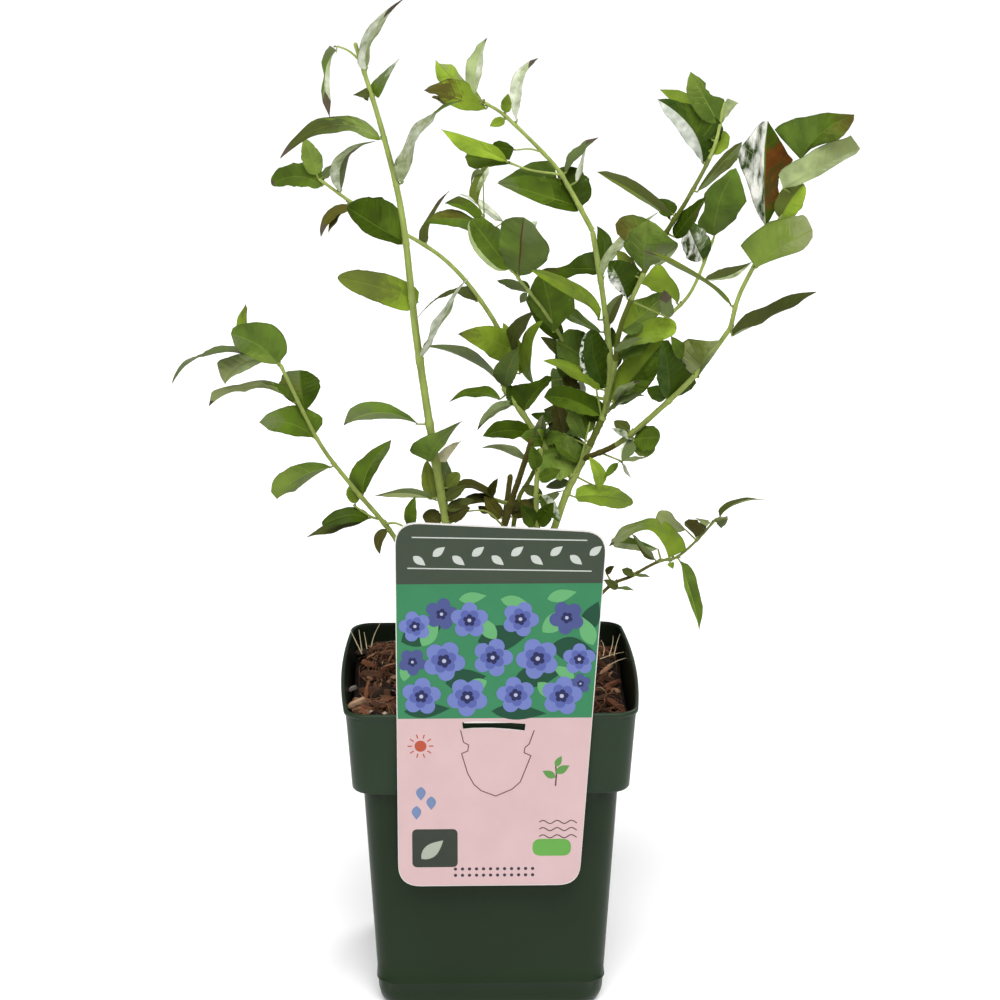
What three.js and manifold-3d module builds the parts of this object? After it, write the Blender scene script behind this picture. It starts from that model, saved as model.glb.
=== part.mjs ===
// A young highbush blueberry in a square nursery pot, with a hanging card.
// Millimetres, +Z up. The origin is the centre of the pot's flat underside.
// +X is to the right and +Y is away from the side that carries the card.

import * as THREE from 'three';
import { mergeVertices } from 'three/addons/utils/BufferGeometryUtils.js';
import Module from 'manifold-3d';

const wasm = await Module();
wasm.setup();

// ---- driving dimensions ----------------------------------------------------

const GAP = 0.35; // clear space kept between two pieces that touch

const POT = {
  height: 146,
  rimHalf: 64.8,
  collarDepth: 38.5,
  collarFootHalf: 61.5,
  bodyTopHalf: 56.7,
  ridgeHeight: 12,
  ridgeHalf: 51.9,
  ridgeStep: 0.6,
  baseHalf: 47.5,
  wall: 1.4,
  floor: 1.6,
  cornerRadius: 10,
  sideBulge: 2.6,
};

const COLLAR_SLOPE = (POT.rimHalf - POT.collarFootHalf) / POT.collarDepth;

const DRAIN = { length: 16, width: 5, offset: 34 };

const SOIL = { level: 134, wallGap: 0.5, heap: 3.2, calmRadius: 36 };

const TAG = {
  thickness: 0.7,
  cornerRadius: 10,
  corners: [[-41.2, 66], [38.6, 66], [49.6, 229], [-41.2, 234]],
  slot: { left: -13, right: 14.5, bottom: 139.4, top: 143.4 },
  hook: { left: -12, right: 13.5, drop: 9 },
};

const LIMB_SIDES = 5;
const LIMB_STEPS = 6;
const LOBE_SIDES = 4;
const SLEEVE_SIDES = 4;
const BROAD_PROFILE = [[0, 0], [0.3, 0.8], [0.62, 1], [1, 0.12]]; // along, swell
const SLIM_PROFILE = [[0, 0], [0.5, 1], [1, 0.12]];
const SLIM_HALF = 4.7; // lobes below this half-width are slim
const SLEEVE_HALF = 2.9; // least half-width of a mass where it wraps its limb
const SLEEVE_MARGIN = 1.5; // a sleeve's half-width against its limb's radius
const LOBE_ROOT = 1.2; // half-width of a lobe where it starts
const DEPTH_SHARE = 0.62; // depth of a mass against its width

const BARK_GREEN = 0x8a9a4e;
const BARK_BROWN = 0x6b5138;
const LEAF_GREENS = [0x6f8f3c, 0x4f7434, 0x86a84a, 0x5d7f45];

// ---- closed meshes from rings ----------------------------------------------

// Joins rings of equal length into one closed body, with a fan over each end.
function loft(rings) {
  const sides = rings[0].length;
  const position = [];
  const index = [];
  for (const ring of rings) {
    for (const p of ring) position.push(p.x, p.y, p.z);
  }
  for (let r = 0; r + 1 < rings.length; r += 1) {
    for (let i = 0; i < sides; i += 1) {
      const a = r * sides + i;
      const b = r * sides + ((i + 1) % sides);
      index.push(a, b, b + sides, a, b + sides, a + sides);
    }
  }
  const cap = (ring, first, flip) => {
    const middle = new THREE.Vector3();
    for (const p of ring) middle.addScaledVector(p, 1 / sides);
    const hub = position.length / 3;
    position.push(middle.x, middle.y, middle.z);
    for (let i = 0; i < sides; i += 1) {
      const a = first + i;
      const b = first + ((i + 1) % sides);
      index.push(hub, flip ? b : a, flip ? a : b);
    }
  };
  cap(rings[0], 0, true);
  cap(rings[rings.length - 1], (rings.length - 1) * sides, false);
  const geometry = new THREE.BufferGeometry();
  geometry.setAttribute('position', new THREE.Float32BufferAttribute(position, 3));
  geometry.setIndex(index);
  return geometry;
}

// A square ring with round corners. The sides at +X and -X may bow outwards.
function squareRing(half, radius, z, bow = 0) {
  const arcSteps = 3;
  const ring = [];
  for (let corner = 0; corner < 4; corner += 1) {
    const turn = (corner * Math.PI) / 2;
    const centre = new THREE.Vector3(half - radius, half - radius, z);
    centre.applyAxisAngle(new THREE.Vector3(0, 0, 1), turn);
    for (let i = 0; i <= arcSteps; i += 1) {
      const angle = turn + (i / arcSteps) * (Math.PI / 2);
      const p = new THREE.Vector3(Math.cos(angle), Math.sin(angle), 0);
      ring.push(p.multiplyScalar(radius).add(centre));
    }
    const side = turn + Math.PI / 2;
    const bowed = half + bow * Math.abs(Math.cos(side));
    ring.push(new THREE.Vector3(Math.cos(side) * bowed, Math.sin(side) * bowed, z));
  }
  return ring;
}

// A closed body along a curve, with an elliptical section of given half sizes.
function sweep(curve, stations, sides) {
  const rings = stations.map(([along, across, depth]) => {
    const centre = curve.getPoint(along);
    const heading = curve.getTangent(along);
    const aside = new THREE.Vector3().crossVectors(heading, new THREE.Vector3(0, 1, 0)).normalize();
    const away = new THREE.Vector3().crossVectors(aside, heading).normalize();
    const ring = [];
    for (let i = 0; i < sides; i += 1) {
      const angle = (i / sides) * 2 * Math.PI;
      const p = centre.clone();
      p.addScaledVector(aside, Math.cos(angle) * across);
      p.addScaledVector(away, -Math.sin(angle) * depth);
      ring.push(p);
    }
    return ring;
  });
  return loft(rings);
}

// ---- joining and cutting ---------------------------------------------------

function toSolid(geometry) {
  const bare = geometry.clone();
  bare.deleteAttribute('normal');
  bare.deleteAttribute('uv');
  const merged = mergeVertices(bare);
  const mesh = new wasm.Mesh({
    numProp: 3,
    vertProperties: new Float32Array(merged.attributes.position.array),
    triVerts: new Uint32Array(merged.index.array),
  });
  mesh.merge();
  return new wasm.Manifold(mesh);
}

function toGeometry(solid) {
  const mesh = solid.getMesh();
  const geometry = new THREE.BufferGeometry();
  geometry.setAttribute('position', new THREE.BufferAttribute(mesh.vertProperties, 3));
  geometry.setIndex(new THREE.BufferAttribute(mesh.triVerts, 1));
  return geometry;
}

function block(left, right, front, back, bottom, top) {
  const geometry = new THREE.BoxGeometry(right - left, back - front, top - bottom);
  geometry.translate((left + right) / 2, (front + back) / 2, (bottom + top) / 2);
  return toSolid(geometry);
}

// Cuts away the space that the other pieces need, and keeps the largest body.
function clearOf(solid, others) {
  let rest = solid;
  for (const other of others) rest = rest.subtract(other);
  const bodies = rest.decompose();
  return bodies.reduce((best, body) => (body.volume() > best.volume() ? body : best));
}

// ---- pot, soil and card ----------------------------------------------------

function potSolid() {
  const collarFoot = POT.height - POT.collarDepth;
  const { wall, cornerRadius, sideBulge } = POT;
  const rings = [
    squareRing(POT.baseHalf, cornerRadius, 0),
    squareRing(POT.baseHalf + 2.1, cornerRadius, 1.2),
    squareRing(POT.ridgeHalf - 1.2, cornerRadius, 4),
    squareRing(POT.ridgeHalf - POT.ridgeStep, cornerRadius, POT.ridgeHeight - 1),
    squareRing(POT.ridgeHalf, cornerRadius, POT.ridgeHeight),
    squareRing(POT.ridgeHalf - POT.ridgeStep, cornerRadius, POT.ridgeHeight + 1.2),
    squareRing(POT.bodyTopHalf, cornerRadius, collarFoot + 0.4),
    squareRing(POT.collarFootHalf, cornerRadius, collarFoot),
    squareRing(POT.rimHalf, cornerRadius, POT.height - 0.8, sideBulge),
    squareRing(POT.rimHalf - 0.5, cornerRadius, POT.height, sideBulge),
    squareRing(POT.rimHalf - wall, cornerRadius - wall, POT.height, sideBulge),
    squareRing(POT.collarFootHalf - wall, cornerRadius - wall, collarFoot + 1.4),
    squareRing(POT.bodyTopHalf - wall, cornerRadius - wall, collarFoot + 1),
    squareRing(POT.baseHalf + 1, cornerRadius - wall, POT.floor),
  ];
  const drains = [0, 1, 2, 3].map((quarter) => {
    const slot = new THREE.BoxGeometry(DRAIN.length, DRAIN.width, POT.floor * 4);
    slot.translate(DRAIN.offset, 0, 0);
    slot.rotateZ(((quarter + 0.5) * Math.PI) / 2);
    return toSolid(slot);
  });
  return clearOf(toSolid(loft(rings)), drains);
}

// The soil's surface is level round the stems and heaped towards the walls.
function soilHeight(x, y) {
  const outward = Math.max(0, Math.hypot(x, y) - SOIL.calmRadius) / SOIL.calmRadius;
  const waves = Math.sin(x * 0.11 + 1.3) * Math.cos(y * 0.13 - 0.4) + 0.5 * Math.sin(x * 0.21 - y * 0.17);
  return SOIL.level + SOIL.heap * Math.min(1, outward) * waves;
}

function soilSolid() {
  const collarFoot = POT.height - POT.collarDepth;
  const inset = POT.wall + SOIL.wallGap;
  const radius = POT.cornerRadius - inset;
  const topHalf = POT.collarFootHalf + COLLAR_SLOPE * (SOIL.level - collarFoot) - inset;
  const sides = [
    squareRing(POT.baseHalf + 1 - SOIL.wallGap, radius, POT.floor + GAP),
    squareRing(POT.bodyTopHalf - inset, radius, collarFoot + 1.4),
    squareRing(POT.collarFootHalf - inset, radius, collarFoot + 2),
  ];
  const top = [1, 0.8, 0.55, 0.25].map((share) => {
    const ring = squareRing(topHalf * share, radius * share, SOIL.level);
    for (const p of ring) p.z = soilHeight(p.x, p.y);
    return ring;
  });
  return toSolid(loft([...sides, ...top]));
}

// The card hangs on the rim by a folded hook and has a slot below the fold.
function tagSolid() {
  const outline = new THREE.Shape();
  const corners = TAG.corners.map(([x, z]) => new THREE.Vector2(x, z));
  corners.forEach((corner, i) => {
    const before = corners[(i + 3) % 4];
    const after = corners[(i + 1) % 4];
    const start = corner.clone().add(before.clone().sub(corner).setLength(TAG.cornerRadius));
    const end = corner.clone().add(after.clone().sub(corner).setLength(TAG.cornerRadius));
    if (i === 0) outline.moveTo(start.x, start.y);
    else outline.lineTo(start.x, start.y);
    outline.quadraticCurveTo(corner.x, corner.y, end.x, end.y);
  });
  outline.closePath();
  const { left, right, bottom, top } = TAG.slot;
  const slot = new THREE.Path();
  slot.moveTo(left, bottom);
  slot.lineTo(left, top);
  slot.lineTo(right, top - 1);
  slot.lineTo(right, bottom - 1);
  slot.closePath();
  outline.holes.push(slot);
  const plate = new THREE.ExtrudeGeometry(outline, {
    depth: TAG.thickness,
    bevelEnabled: false,
    curveSegments: 4,
  });
  const back = -(POT.rimHalf + GAP);
  plate.rotateX(Math.PI / 2);
  plate.translate(0, back, 0);
  const { hook, thickness } = TAG;
  const inner = -(POT.rimHalf - POT.wall - COLLAR_SLOPE * (hook.drop + 1)) + GAP;
  const over = POT.height + GAP;
  const bridge = block(hook.left, hook.right, back - 0.2, inner + thickness, over, over + thickness);
  const flap = block(hook.left, hook.right, inner, inner + thickness, over - hook.drop, over + thickness);
  return toSolid(plate).add(bridge).add(flap);
}

// ---- stems and boughs ------------------------------------------------------

// Each limb runs through a few measured points and tapers from foot to tip.
// A limb that names a parent starts at the parent's surface.
const LIMBS = {
  stem_tall_left: {
    points: [[-2, -6, 128], [-19, -10, 217], [-31, -20, 299], [-37, -28, 357], [-45, -34, 395], [-56, -42, 434]],
    foot: 2.15,
    tip: 0.85,
  },
  stem_main: {
    points: [[8, 4, 128], [23, 6, 185], [34, 7, 222], [43, 10, 241], [52, 10, 261]],
    foot: 2.0,
    tip: 1.4,
  },
  bough_arch_low: {
    parent: 'stem_main',
    points: [[38, 8, 233], [27, 14, 244], [15, 20, 261], [7, 26, 271]],
    foot: 1.5,
    tip: 1.3,
  },
  bough_arch_high: {
    parent: 'bough_arch_low',
    points: [[7, 26, 271], [9, 32, 286], [-1, 42, 305], [-21, 54, 326], [-56, 66, 345], [-77, 72, 359]],
    foot: 1.3,
    tip: 0.7,
  },
  stem_tall_mid: {
    parent: 'stem_main',
    points: [[52, 10, 261], [55, 14, 281], [52, 20, 312], [47, 24, 343]],
    foot: 1.5,
    tip: 1.25,
  },
  bough_top_mid: {
    parent: 'stem_tall_mid',
    points: [[47, 24, 343], [37, 27, 361], [29, 28, 373], [9, 28, 393], [-1, 26, 400]],
    foot: 1.2,
    tip: 0.65,
  },
  stem_old: {
    points: [[-9, 10, 128], [0, 8, 175], [7, 2, 212], [14, -6, 238], [19, -12, 256]],
    foot: 1.7,
    tip: 1.2,
  },
  stem_centre: {
    points: [[5, 18, 128], [12, 22, 208], [20, 25, 229], [38, 27, 261], [36, 24, 287], [26, 2, 309], [12, -20, 331]],
    foot: 1.25,
    tip: 0.65,
  },
  bough_mid_right: {
    parent: 'stem_main',
    points: [[52, 10, 261], [56, 2, 284], [58, -10, 307], [67, -22, 333]],
    foot: 1.2,
    tip: 1.0,
  },
  bough_top_right: {
    parent: 'bough_mid_right',
    points: [[67, -22, 333], [76, -26, 351], [85, -30, 367], [95, -32, 388], [99, -32, 408]],
    foot: 1.15,
    tip: 0.65,
  },
  bough_back_right: {
    parent: 'stem_main',
    points: [[52, 10, 261], [62, 26, 281], [80, 42, 297], [94, 52, 309], [105, 62, 332]],
    foot: 1.15,
    tip: 0.7,
  },
  bough_side_low: {
    parent: 'stem_main',
    points: [[43, 10, 241], [58, -4, 252], [75, -18, 271], [90, -30, 290], [103, -40, 312]],
    foot: 1.3,
    tip: 1.05,
  },
  bough_side_high: {
    parent: 'bough_side_low',
    points: [[103, -40, 312], [106, -44, 327], [114, -50, 346], [128, -58, 376]],
    foot: 1.1,
    tip: 0.75,
  },
  shoot_low_left: {
    points: [[-14, -3, 128], [-27, -10, 181], [-42, -16, 212], [-61, -24, 239], [-75, -30, 261], [-90, -40, 297]],
    foot: 1.35,
    tip: 0.75,
  },
  shoot_low_right: {
    points: [[23, 11, 128], [51, 17, 173], [67, 22, 182], [79, 27, 187], [88, 31, 188], [98, 36, 195], [107, 40, 204]],
    foot: 0.85,
    tip: 0.55,
  },
  shoot_green: {
    points: [[22, -7, 128], [23, -8, 180], [21, -11, 230], [23, -12, 252]],
    foot: 1.35,
    tip: 1.0,
  },
  stem_cut: {
    points: [[0, 15, 128], [4, 11, 184], [10, 6, 235]],
    foot: 1.5,
    tip: 1.25,
  },
};

function limbCurve(name) {
  const points = LIMBS[name].points.map((p) => new THREE.Vector3(...p));
  return new THREE.CatmullRomCurve3(points, false, 'catmullrom', 0.5);
}

function limbRadius(name, along) {
  return THREE.MathUtils.lerp(LIMBS[name].foot, LIMBS[name].tip, along);
}

function limbSolid(name, extra = 0) {
  const stations = [];
  for (let i = 0; i <= LIMB_STEPS; i += 1) {
    const along = i / LIMB_STEPS;
    const radius = limbRadius(name, along) + extra;
    stations.push([along, radius, radius]);
  }
  return toSolid(sweep(limbCurve(name), stations, LIMB_SIDES));
}

// The place on a limb at a given height, as a share of the limb's curve.
function shareAtHeight(curve, height) {
  let low = 0;
  let high = 1;
  for (let i = 0; i < 24; i += 1) {
    const middle = (low + high) / 2;
    if (curve.getPoint(middle).z < height) low = middle;
    else high = middle;
  }
  return (low + high) / 2;
}

// ---- masses of foliage -----------------------------------------------------

// Each lobe leaves its limb at a height, reaches [across, away, up] and has a
// half-width; a lobe may arch above the straight line to its tip.
const lobe = (height, reach, half, arch = 0) => ({ height, reach, half, arch });

const FOLIAGE = {
  leaves_left_tip: ['stem_tall_left', [
    lobe(430, [19, -5, 22], 3, 2),
    lobe(431, [-9, -12, -25], 3.4, 9),
    lobe(413, [12, -3, 14], 3.6),
  ]],
  leaves_left_wings: ['stem_tall_left', [
    lobe(393, [-42, -22, -3], 4.2, 11),
    lobe(377, [26, -14, 34], 3.2, 3),
  ]],
  leaves_left_broad: ['stem_tall_left', [lobe(347, [-22, -16, 18], 8)]],
  leaves_left_mid: ['stem_tall_left', [lobe(319, [-31, -14, 15], 5.5)]],
  leaves_left_low: ['stem_tall_left', [lobe(266, [-32, -8, 1], 4, 7)]],
  leaves_left_foot: ['stem_tall_left', [
    lobe(234, [13, -10, 32], 5.4),
    lobe(229, [-26, -5, 3], 4.2, -2),
  ]],
  leaves_arch_tip: ['bough_arch_high', [
    lobe(356, [-26, 8, 1], 5.2, 1),
    lobe(355, [-13, 4, 16], 3.6),
    lobe(352, [18, -12, 25], 3, 4),
    lobe(348, [-15, -12, -14], 3.2),
  ]],
  leaves_arch_rise: ['bough_arch_high', [lobe(331, [11, 4, 24], 3, 3)]],
  leaves_bend_high: ['bough_arch_high', [
    lobe(287, [-22, -8, 9], 6.2, 1),
    lobe(286, [12, 8, 17], 4.6),
    lobe(279, [-37, 10, 9], 3),
  ]],
  leaves_bend_low: ['bough_arch_low', [
    lobe(264, [10, -10, 23], 5),
    lobe(264, [-27, 8, -1], 3.4),
    lobe(255, [-21, -10, 1], 4.4),
    lobe(257, [12, -11, 21], 5.6),
  ]],
  leaves_fork: ['stem_main', [
    lobe(256, [-25, -14, 16], 4.6, 2),
    lobe(256, [21, 4, 14], 2.8),
  ]],
  leaves_top: ['bough_top_mid', [
    lobe(397, [-28, -8, 10], 6.6),
    lobe(396, [-20, -4, 23], 3.4),
    lobe(395, [-6, 6, 32], 4.6),
    lobe(391, [12, 10, 26], 3.8),
  ]],
  leaves_top_side: ['bough_top_mid', [
    lobe(383, [-39, -12, 6], 4.2, -3),
    lobe(375, [-37, 12, -4], 4.6, 2),
    lobe(370, [20, 10, 12], 2.8, -1),
  ]],
  leaves_mid_fan: ['bough_top_mid', [
    lobe(361, [-31, 13, 2], 5.2),
    lobe(355, [-35, -13, 9], 5),
    lobe(355, [-9, 9, 14], 3.2),
  ]],
  leaves_mid_cross: ['stem_tall_mid', [
    lobe(328, [-22, 12, -5], 5.2, 2),
    lobe(325, [18, 9, 19], 2.8),
    lobe(304, [-33, -14, 25], 4.2),
  ]],
  leaves_mid_low: ['stem_tall_mid', [
    lobe(279, [-9, -15, 23], 6.6),
    lobe(283, [-27, 11, 6], 5),
    lobe(276, [-29, -10, 13], 3.2),
  ]],
  leaves_centre_top: ['stem_centre', [
    lobe(329, [2, -12, 30], 10.5),
    lobe(328, [-40, 0, 27], 4.4, 7),
    lobe(327, [-14, 0, 49], 5.4),
  ]],
  leaves_centre: ['stem_centre', [
    lobe(311, [0, -14, 25], 10),
    lobe(320, [-15, 4, 8], 3.4),
  ]],
  leaves_round_right: ['bough_mid_right', [
    lobe(330, [6, -16, 27], 10.5),
    lobe(329, [-10, 10, 22], 4.4),
    lobe(320, [-10, -14, 19], 6.6),
    lobe(322, [17, 10, -4], 5),
  ]],
  leaves_mid_right: ['bough_mid_right', [
    lobe(306, [19, 9, 13], 5.6),
    lobe(299, [23, 9, 4], 4.6),
  ]],
  leaves_low_fold: ['bough_mid_right', [lobe(273, [20, -14, 26], 5.6)]],
  leaves_far_tip: ['bough_top_right', [
    lobe(400, [-14, -12, 21], 7),
    lobe(400, [7, 8, 5], 3.4),
  ]],
  leaves_far_fold: ['bough_top_right', [
    lobe(388, [-22, 8, 23], 3.2),
    lobe(383, [-22, -13, 27], 8),
    lobe(384, [11, 8, 9], 4),
  ]],
  leaves_far_low: ['bough_top_right', [
    lobe(367, [23, 10, 22], 3.6),
    lobe(356, [-30, 9, 20], 4),
    lobe(356, [12, -14, 12], 4.6),
  ]],
  leaves_back_right: ['bough_back_right', [
    lobe(329, [10, -12, 36], 9),
    lobe(322, [-9, -10, 17], 6),
    lobe(317, [22, 10, 2], 3),
  ]],
  leaves_side_spread: ['bough_side_high', [
    lobe(323, [-42, -9, 24], 3.4, 4),
    lobe(318, [37, 12, 10], 3.8, -2),
  ]],
  leaves_side_broad: ['bough_side_high', [lobe(341, [21, -16, 20], 9)]],
  leaves_side_tall: ['bough_side_high', [lobe(354, [-3, -14, 50], 11)]],
  leaves_side_tip: ['bough_side_high', [
    lobe(373, [7, -8, 34], 12.5),
    lobe(370, [30, 12, 23], 5.6),
  ]],
  leaves_side_low: ['bough_side_low', [
    lobe(290, [10, -10, 16], 7.6),
    lobe(277, [-5, -14, 27], 8),
  ]],
  leaves_side_rosette: ['bough_side_low', [
    lobe(253, [16, -10, 6], 6),
    lobe(253, [-9, -8, -13], 3.4),
  ]],
  leaves_low_right: ['shoot_low_right', [
    lobe(202, [23, 4, 8], 3, 3),
    lobe(195, [-6, -6, 12], 4.6),
    lobe(194, [-18, -7, 16], 5),
    lobe(190, [-32, -12, 9], 4.6, 9),
    lobe(190, [9, -8, -34], 4.2),
  ]],
  leaves_low_right_foot: ['shoot_low_right', [
    lobe(186, [-12, -6, 15], 3.6),
    lobe(182, [-7, -6, 4], 3),
  ]],
  leaves_low_left_tip: ['shoot_low_left', [
    lobe(294, [-18, -8, 19], 8.5),
    lobe(294, [-14, -4, 29], 4),
    lobe(294, [-49, 12, -7], 3, 9),
    lobe(292, [-24, -16, 0], 5, 3),
  ]],
  leaves_low_left_top: ['shoot_low_left', [
    lobe(279, [-40, 12, -3], 3.4, 7),
    lobe(275, [-1, -14, 20], 8.6),
  ]],
  leaves_low_left_mid: ['shoot_low_left', [
    lobe(262, [-23, -12, 11], 6),
    lobe(250, [-27, 12, -19], 5),
  ]],
  leaves_low_left_foot: ['shoot_low_left', [
    lobe(233, [12, -14, 28], 5),
    lobe(222, [-32, -4, -7], 4.4),
    lobe(219, [-5, -7, -12], 3.4),
  ]],
  leaves_heart_left: ['stem_old', [
    lobe(214, [-25, -12, 19], 4.2),
    lobe(213, [-26, 4, 8], 5.6),
  ]],
  leaves_heart_right: ['stem_main', [
    lobe(218, [32, 12, -3], 5.4),
    lobe(221, [14, -6, 21], 4.2),
  ]],
  leaves_heart: ['shoot_green', [
    lobe(247, [17, -14, 9], 5),
    lobe(216, [-9, -10, 14], 4.6),
    lobe(220, [7, 11, 4], 4.2),
  ]],
};

// One lobe: a swelling body from its root to the tip, uneven by its own number.
function lobeSolid(root, { reach, half, arch }, number, extra) {
  const tip = root.clone().add(new THREE.Vector3(...reach));
  const crest = root.clone().lerp(tip, 0.5);
  crest.z += 2 * arch;
  const curve = new THREE.QuadraticBezierCurve3(root, crest, tip);
  const profile = half < SLIM_HALF ? SLIM_PROFILE : BROAD_PROFILE;
  const stations = profile.map(([along, swell], i) => {
    const uneven = 1 + 0.12 * Math.sin(number * 2.4 + i * 1.9);
    const across = Math.max(LOBE_ROOT * (1 - along), half * swell * uneven);
    const depth = Math.max(LOBE_ROOT * (1 - along), half * swell * DEPTH_SHARE) + 0.8 * along;
    return [along, across + extra, depth + extra];
  });
  return toSolid(sweep(curve, stations, LOBE_SIDES));
}

// A mass of one lobe starts beside its limb. Several lobes meet in a sleeve
// that wraps the limb along the stretch where they leave it.
function massSolid(limbName, lobes, number, extra = 0) {
  const limb = limbCurve(limbName);
  const shares = lobes.map((part) => shareAtHeight(limb, part.height));
  const roots = shares.map((share) => limb.getPoint(share));
  if (lobes.length === 1) {
    const aside = new THREE.Vector3(...lobes[0].reach).setLength(LIMBS[limbName].foot + GAP);
    return lobeSolid(roots[0].add(aside), lobes[0], number, extra);
  }
  const thickest = Math.max(...shares.map((share) => limbRadius(limbName, share)));
  const size = Math.max(SLEEVE_HALF, SLEEVE_MARGIN * (thickest + GAP)) + extra;
  const from = Math.max(0, Math.min(...shares) - size / limb.getLength());
  const to = Math.min(1, Math.max(...shares) + size / limb.getLength());
  let mass = toSolid(sweep(limb, [[from, size, size], [to, size, size]], SLEEVE_SIDES));
  lobes.forEach((part, i) => {
    mass = mass.add(lobeSolid(roots[i], part, number + i, extra));
  });
  return mass;
}

// ---- assembly --------------------------------------------------------------

function material(color, roughness) {
  return new THREE.MeshStandardMaterial({ color, roughness, metalness: 0 });
}

const plant = new THREE.Group();

function place(name, solid, paint) {
  const mesh = new THREE.Mesh(toGeometry(solid), paint);
  mesh.name = name;
  plant.add(mesh);
}

place('pot', potSolid(), material(0x34432f, 0.45));
place('soil', soilSolid(), material(0x4a3526, 0.95));
place('tag', tagSolid(), material(0xe2c6c2, 0.4));

const underground = block(-200, 200, -200, 200, SOIL.level - 60, SOIL.level + GAP);
const limbRooms = [];
for (const name of Object.keys(LIMBS)) {
  const solid = clearOf(limbSolid(name), [underground, ...limbRooms]);
  limbRooms.push(limbSolid(name, GAP));
  place(name, solid, material(name === 'stem_old' || name === 'stem_cut' ? BARK_BROWN : BARK_GREEN, 0.7));
}

const massRooms = [];
Object.entries(FOLIAGE).forEach(([name, [limbName, lobes]], number) => {
  const solid = clearOf(massSolid(limbName, lobes, number), [...limbRooms, ...massRooms]);
  massRooms.push(massSolid(limbName, lobes, number, GAP));
  place(name, solid, material(LEAF_GREENS[number % LEAF_GREENS.length], 0.6));
});

export default plant;
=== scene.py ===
# A young highbush blueberry in a square nursery pot, with a hanging card.
# Lengths are millimetres in the CAD frame, and MM turns them into metres.
# Leaves and twigs are traced as pixels of the photograph. The camera turns a
# pixel and a depth into a place, and each one grows from the limb it names.

import math
import random
from collections import namedtuple

import bpy
from mathutils import Matrix, Vector, noise


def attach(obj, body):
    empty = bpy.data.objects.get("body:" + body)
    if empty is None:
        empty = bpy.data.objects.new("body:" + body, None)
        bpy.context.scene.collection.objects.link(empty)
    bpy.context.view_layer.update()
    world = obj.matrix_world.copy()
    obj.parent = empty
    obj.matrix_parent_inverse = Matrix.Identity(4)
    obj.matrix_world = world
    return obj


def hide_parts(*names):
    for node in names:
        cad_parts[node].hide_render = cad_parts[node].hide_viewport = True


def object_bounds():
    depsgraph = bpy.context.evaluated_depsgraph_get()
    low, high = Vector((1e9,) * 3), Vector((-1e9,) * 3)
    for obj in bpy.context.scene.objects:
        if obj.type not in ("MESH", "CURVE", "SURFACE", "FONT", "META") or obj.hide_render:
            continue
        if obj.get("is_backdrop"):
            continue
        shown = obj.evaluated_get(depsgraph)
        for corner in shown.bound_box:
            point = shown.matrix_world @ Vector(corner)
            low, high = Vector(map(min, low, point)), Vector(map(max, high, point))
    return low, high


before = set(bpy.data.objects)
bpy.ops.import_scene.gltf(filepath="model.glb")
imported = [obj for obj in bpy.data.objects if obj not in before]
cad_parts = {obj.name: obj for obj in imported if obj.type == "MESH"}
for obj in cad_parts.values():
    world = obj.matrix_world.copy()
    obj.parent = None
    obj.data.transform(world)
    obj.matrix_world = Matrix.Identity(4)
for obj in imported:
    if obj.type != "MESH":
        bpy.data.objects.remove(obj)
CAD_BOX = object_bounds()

MM = 0.001
UP = Vector((0, 0, 1))

# ---- camera ------------------------------------------------------------------

PHOTO_SIZE = 1000  # pixels a side
SENSOR = 36.0
LENS = 99.8
CAMERA_PLACE = Vector((-20.7, -1201.3, 563.0))
CAMERA_PITCH = 15.72  # degrees below the horizon
CAMERA_YAW = -1.23
CLIP_START, CLIP_END = 0.05, 60  # metres
CAMERA_TURN = Matrix.Rotation(math.radians(CAMERA_YAW), 3, "Z") @ Matrix.Rotation(
    math.radians(90 - CAMERA_PITCH), 3, "X"
)
FOCAL_PIXELS = LENS / SENSOR * PHOTO_SIZE


def photo_ray(pixel):
    """The direction in which the camera sees a pixel of the photograph."""
    half = PHOTO_SIZE / 2
    return CAMERA_TURN @ Vector((pixel[0] - half, half - pixel[1], -FOCAL_PIXELS))


def photo_place(pixel, depth):
    """The point that shows at a pixel of the photograph, at a given y."""
    ray = photo_ray(pixel)
    return CAMERA_PLACE + ray * ((depth - CAMERA_PLACE.y) / ray.y)


def photo_pixel(place):
    """The pixel of the photograph at which a point shows."""
    seen = CAMERA_TURN.transposed() @ (place - CAMERA_PLACE)
    scale = FOCAL_PIXELS / -seen.z
    return Vector((PHOTO_SIZE / 2 + seen.x * scale, PHOTO_SIZE / 2 - seen.y * scale))


def pixel_size(place):
    """Millimetres to one pixel at a point."""
    return (place - CAMERA_PLACE).length / FOCAL_PIXELS


def make_camera():
    """The camera as fitted to the photo."""
    data = bpy.data.cameras.new("camera")
    data.lens = LENS
    data.sensor_width = SENSOR
    data.clip_start, data.clip_end = CLIP_START, CLIP_END
    camera = bpy.data.objects.new("camera", data)
    turn = CAMERA_TURN.to_quaternion()
    camera.matrix_world = Matrix.LocRotScale(CAMERA_PLACE * MM, turn, None)
    bpy.context.scene.collection.objects.link(camera)
    bpy.context.scene.camera = camera


# ---- colours and finishes ----------------------------------------------------

STUDIO_SHARE = 0.62  # the light is brighter than white, so surfaces give back less of it
BLOTCH_OCTAVES, GRAIN_OCTAVES = 4, 3
GLOSS_SPREAD = 0.07  # how far the grain changes the roughness, up and down
LEAST_ROUGHNESS = 0.05
BUMP_STRENGTH = 0.6


def linear(color):
    """An sRGB colour of 0 to 255, as it looks in the photograph, as linear light."""
    shares = [c / 255 for c in color]
    return [s / 12.92 if s <= 0.04045 else ((s + 0.055) / 1.055) ** 2.4 for s in shares]


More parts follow.
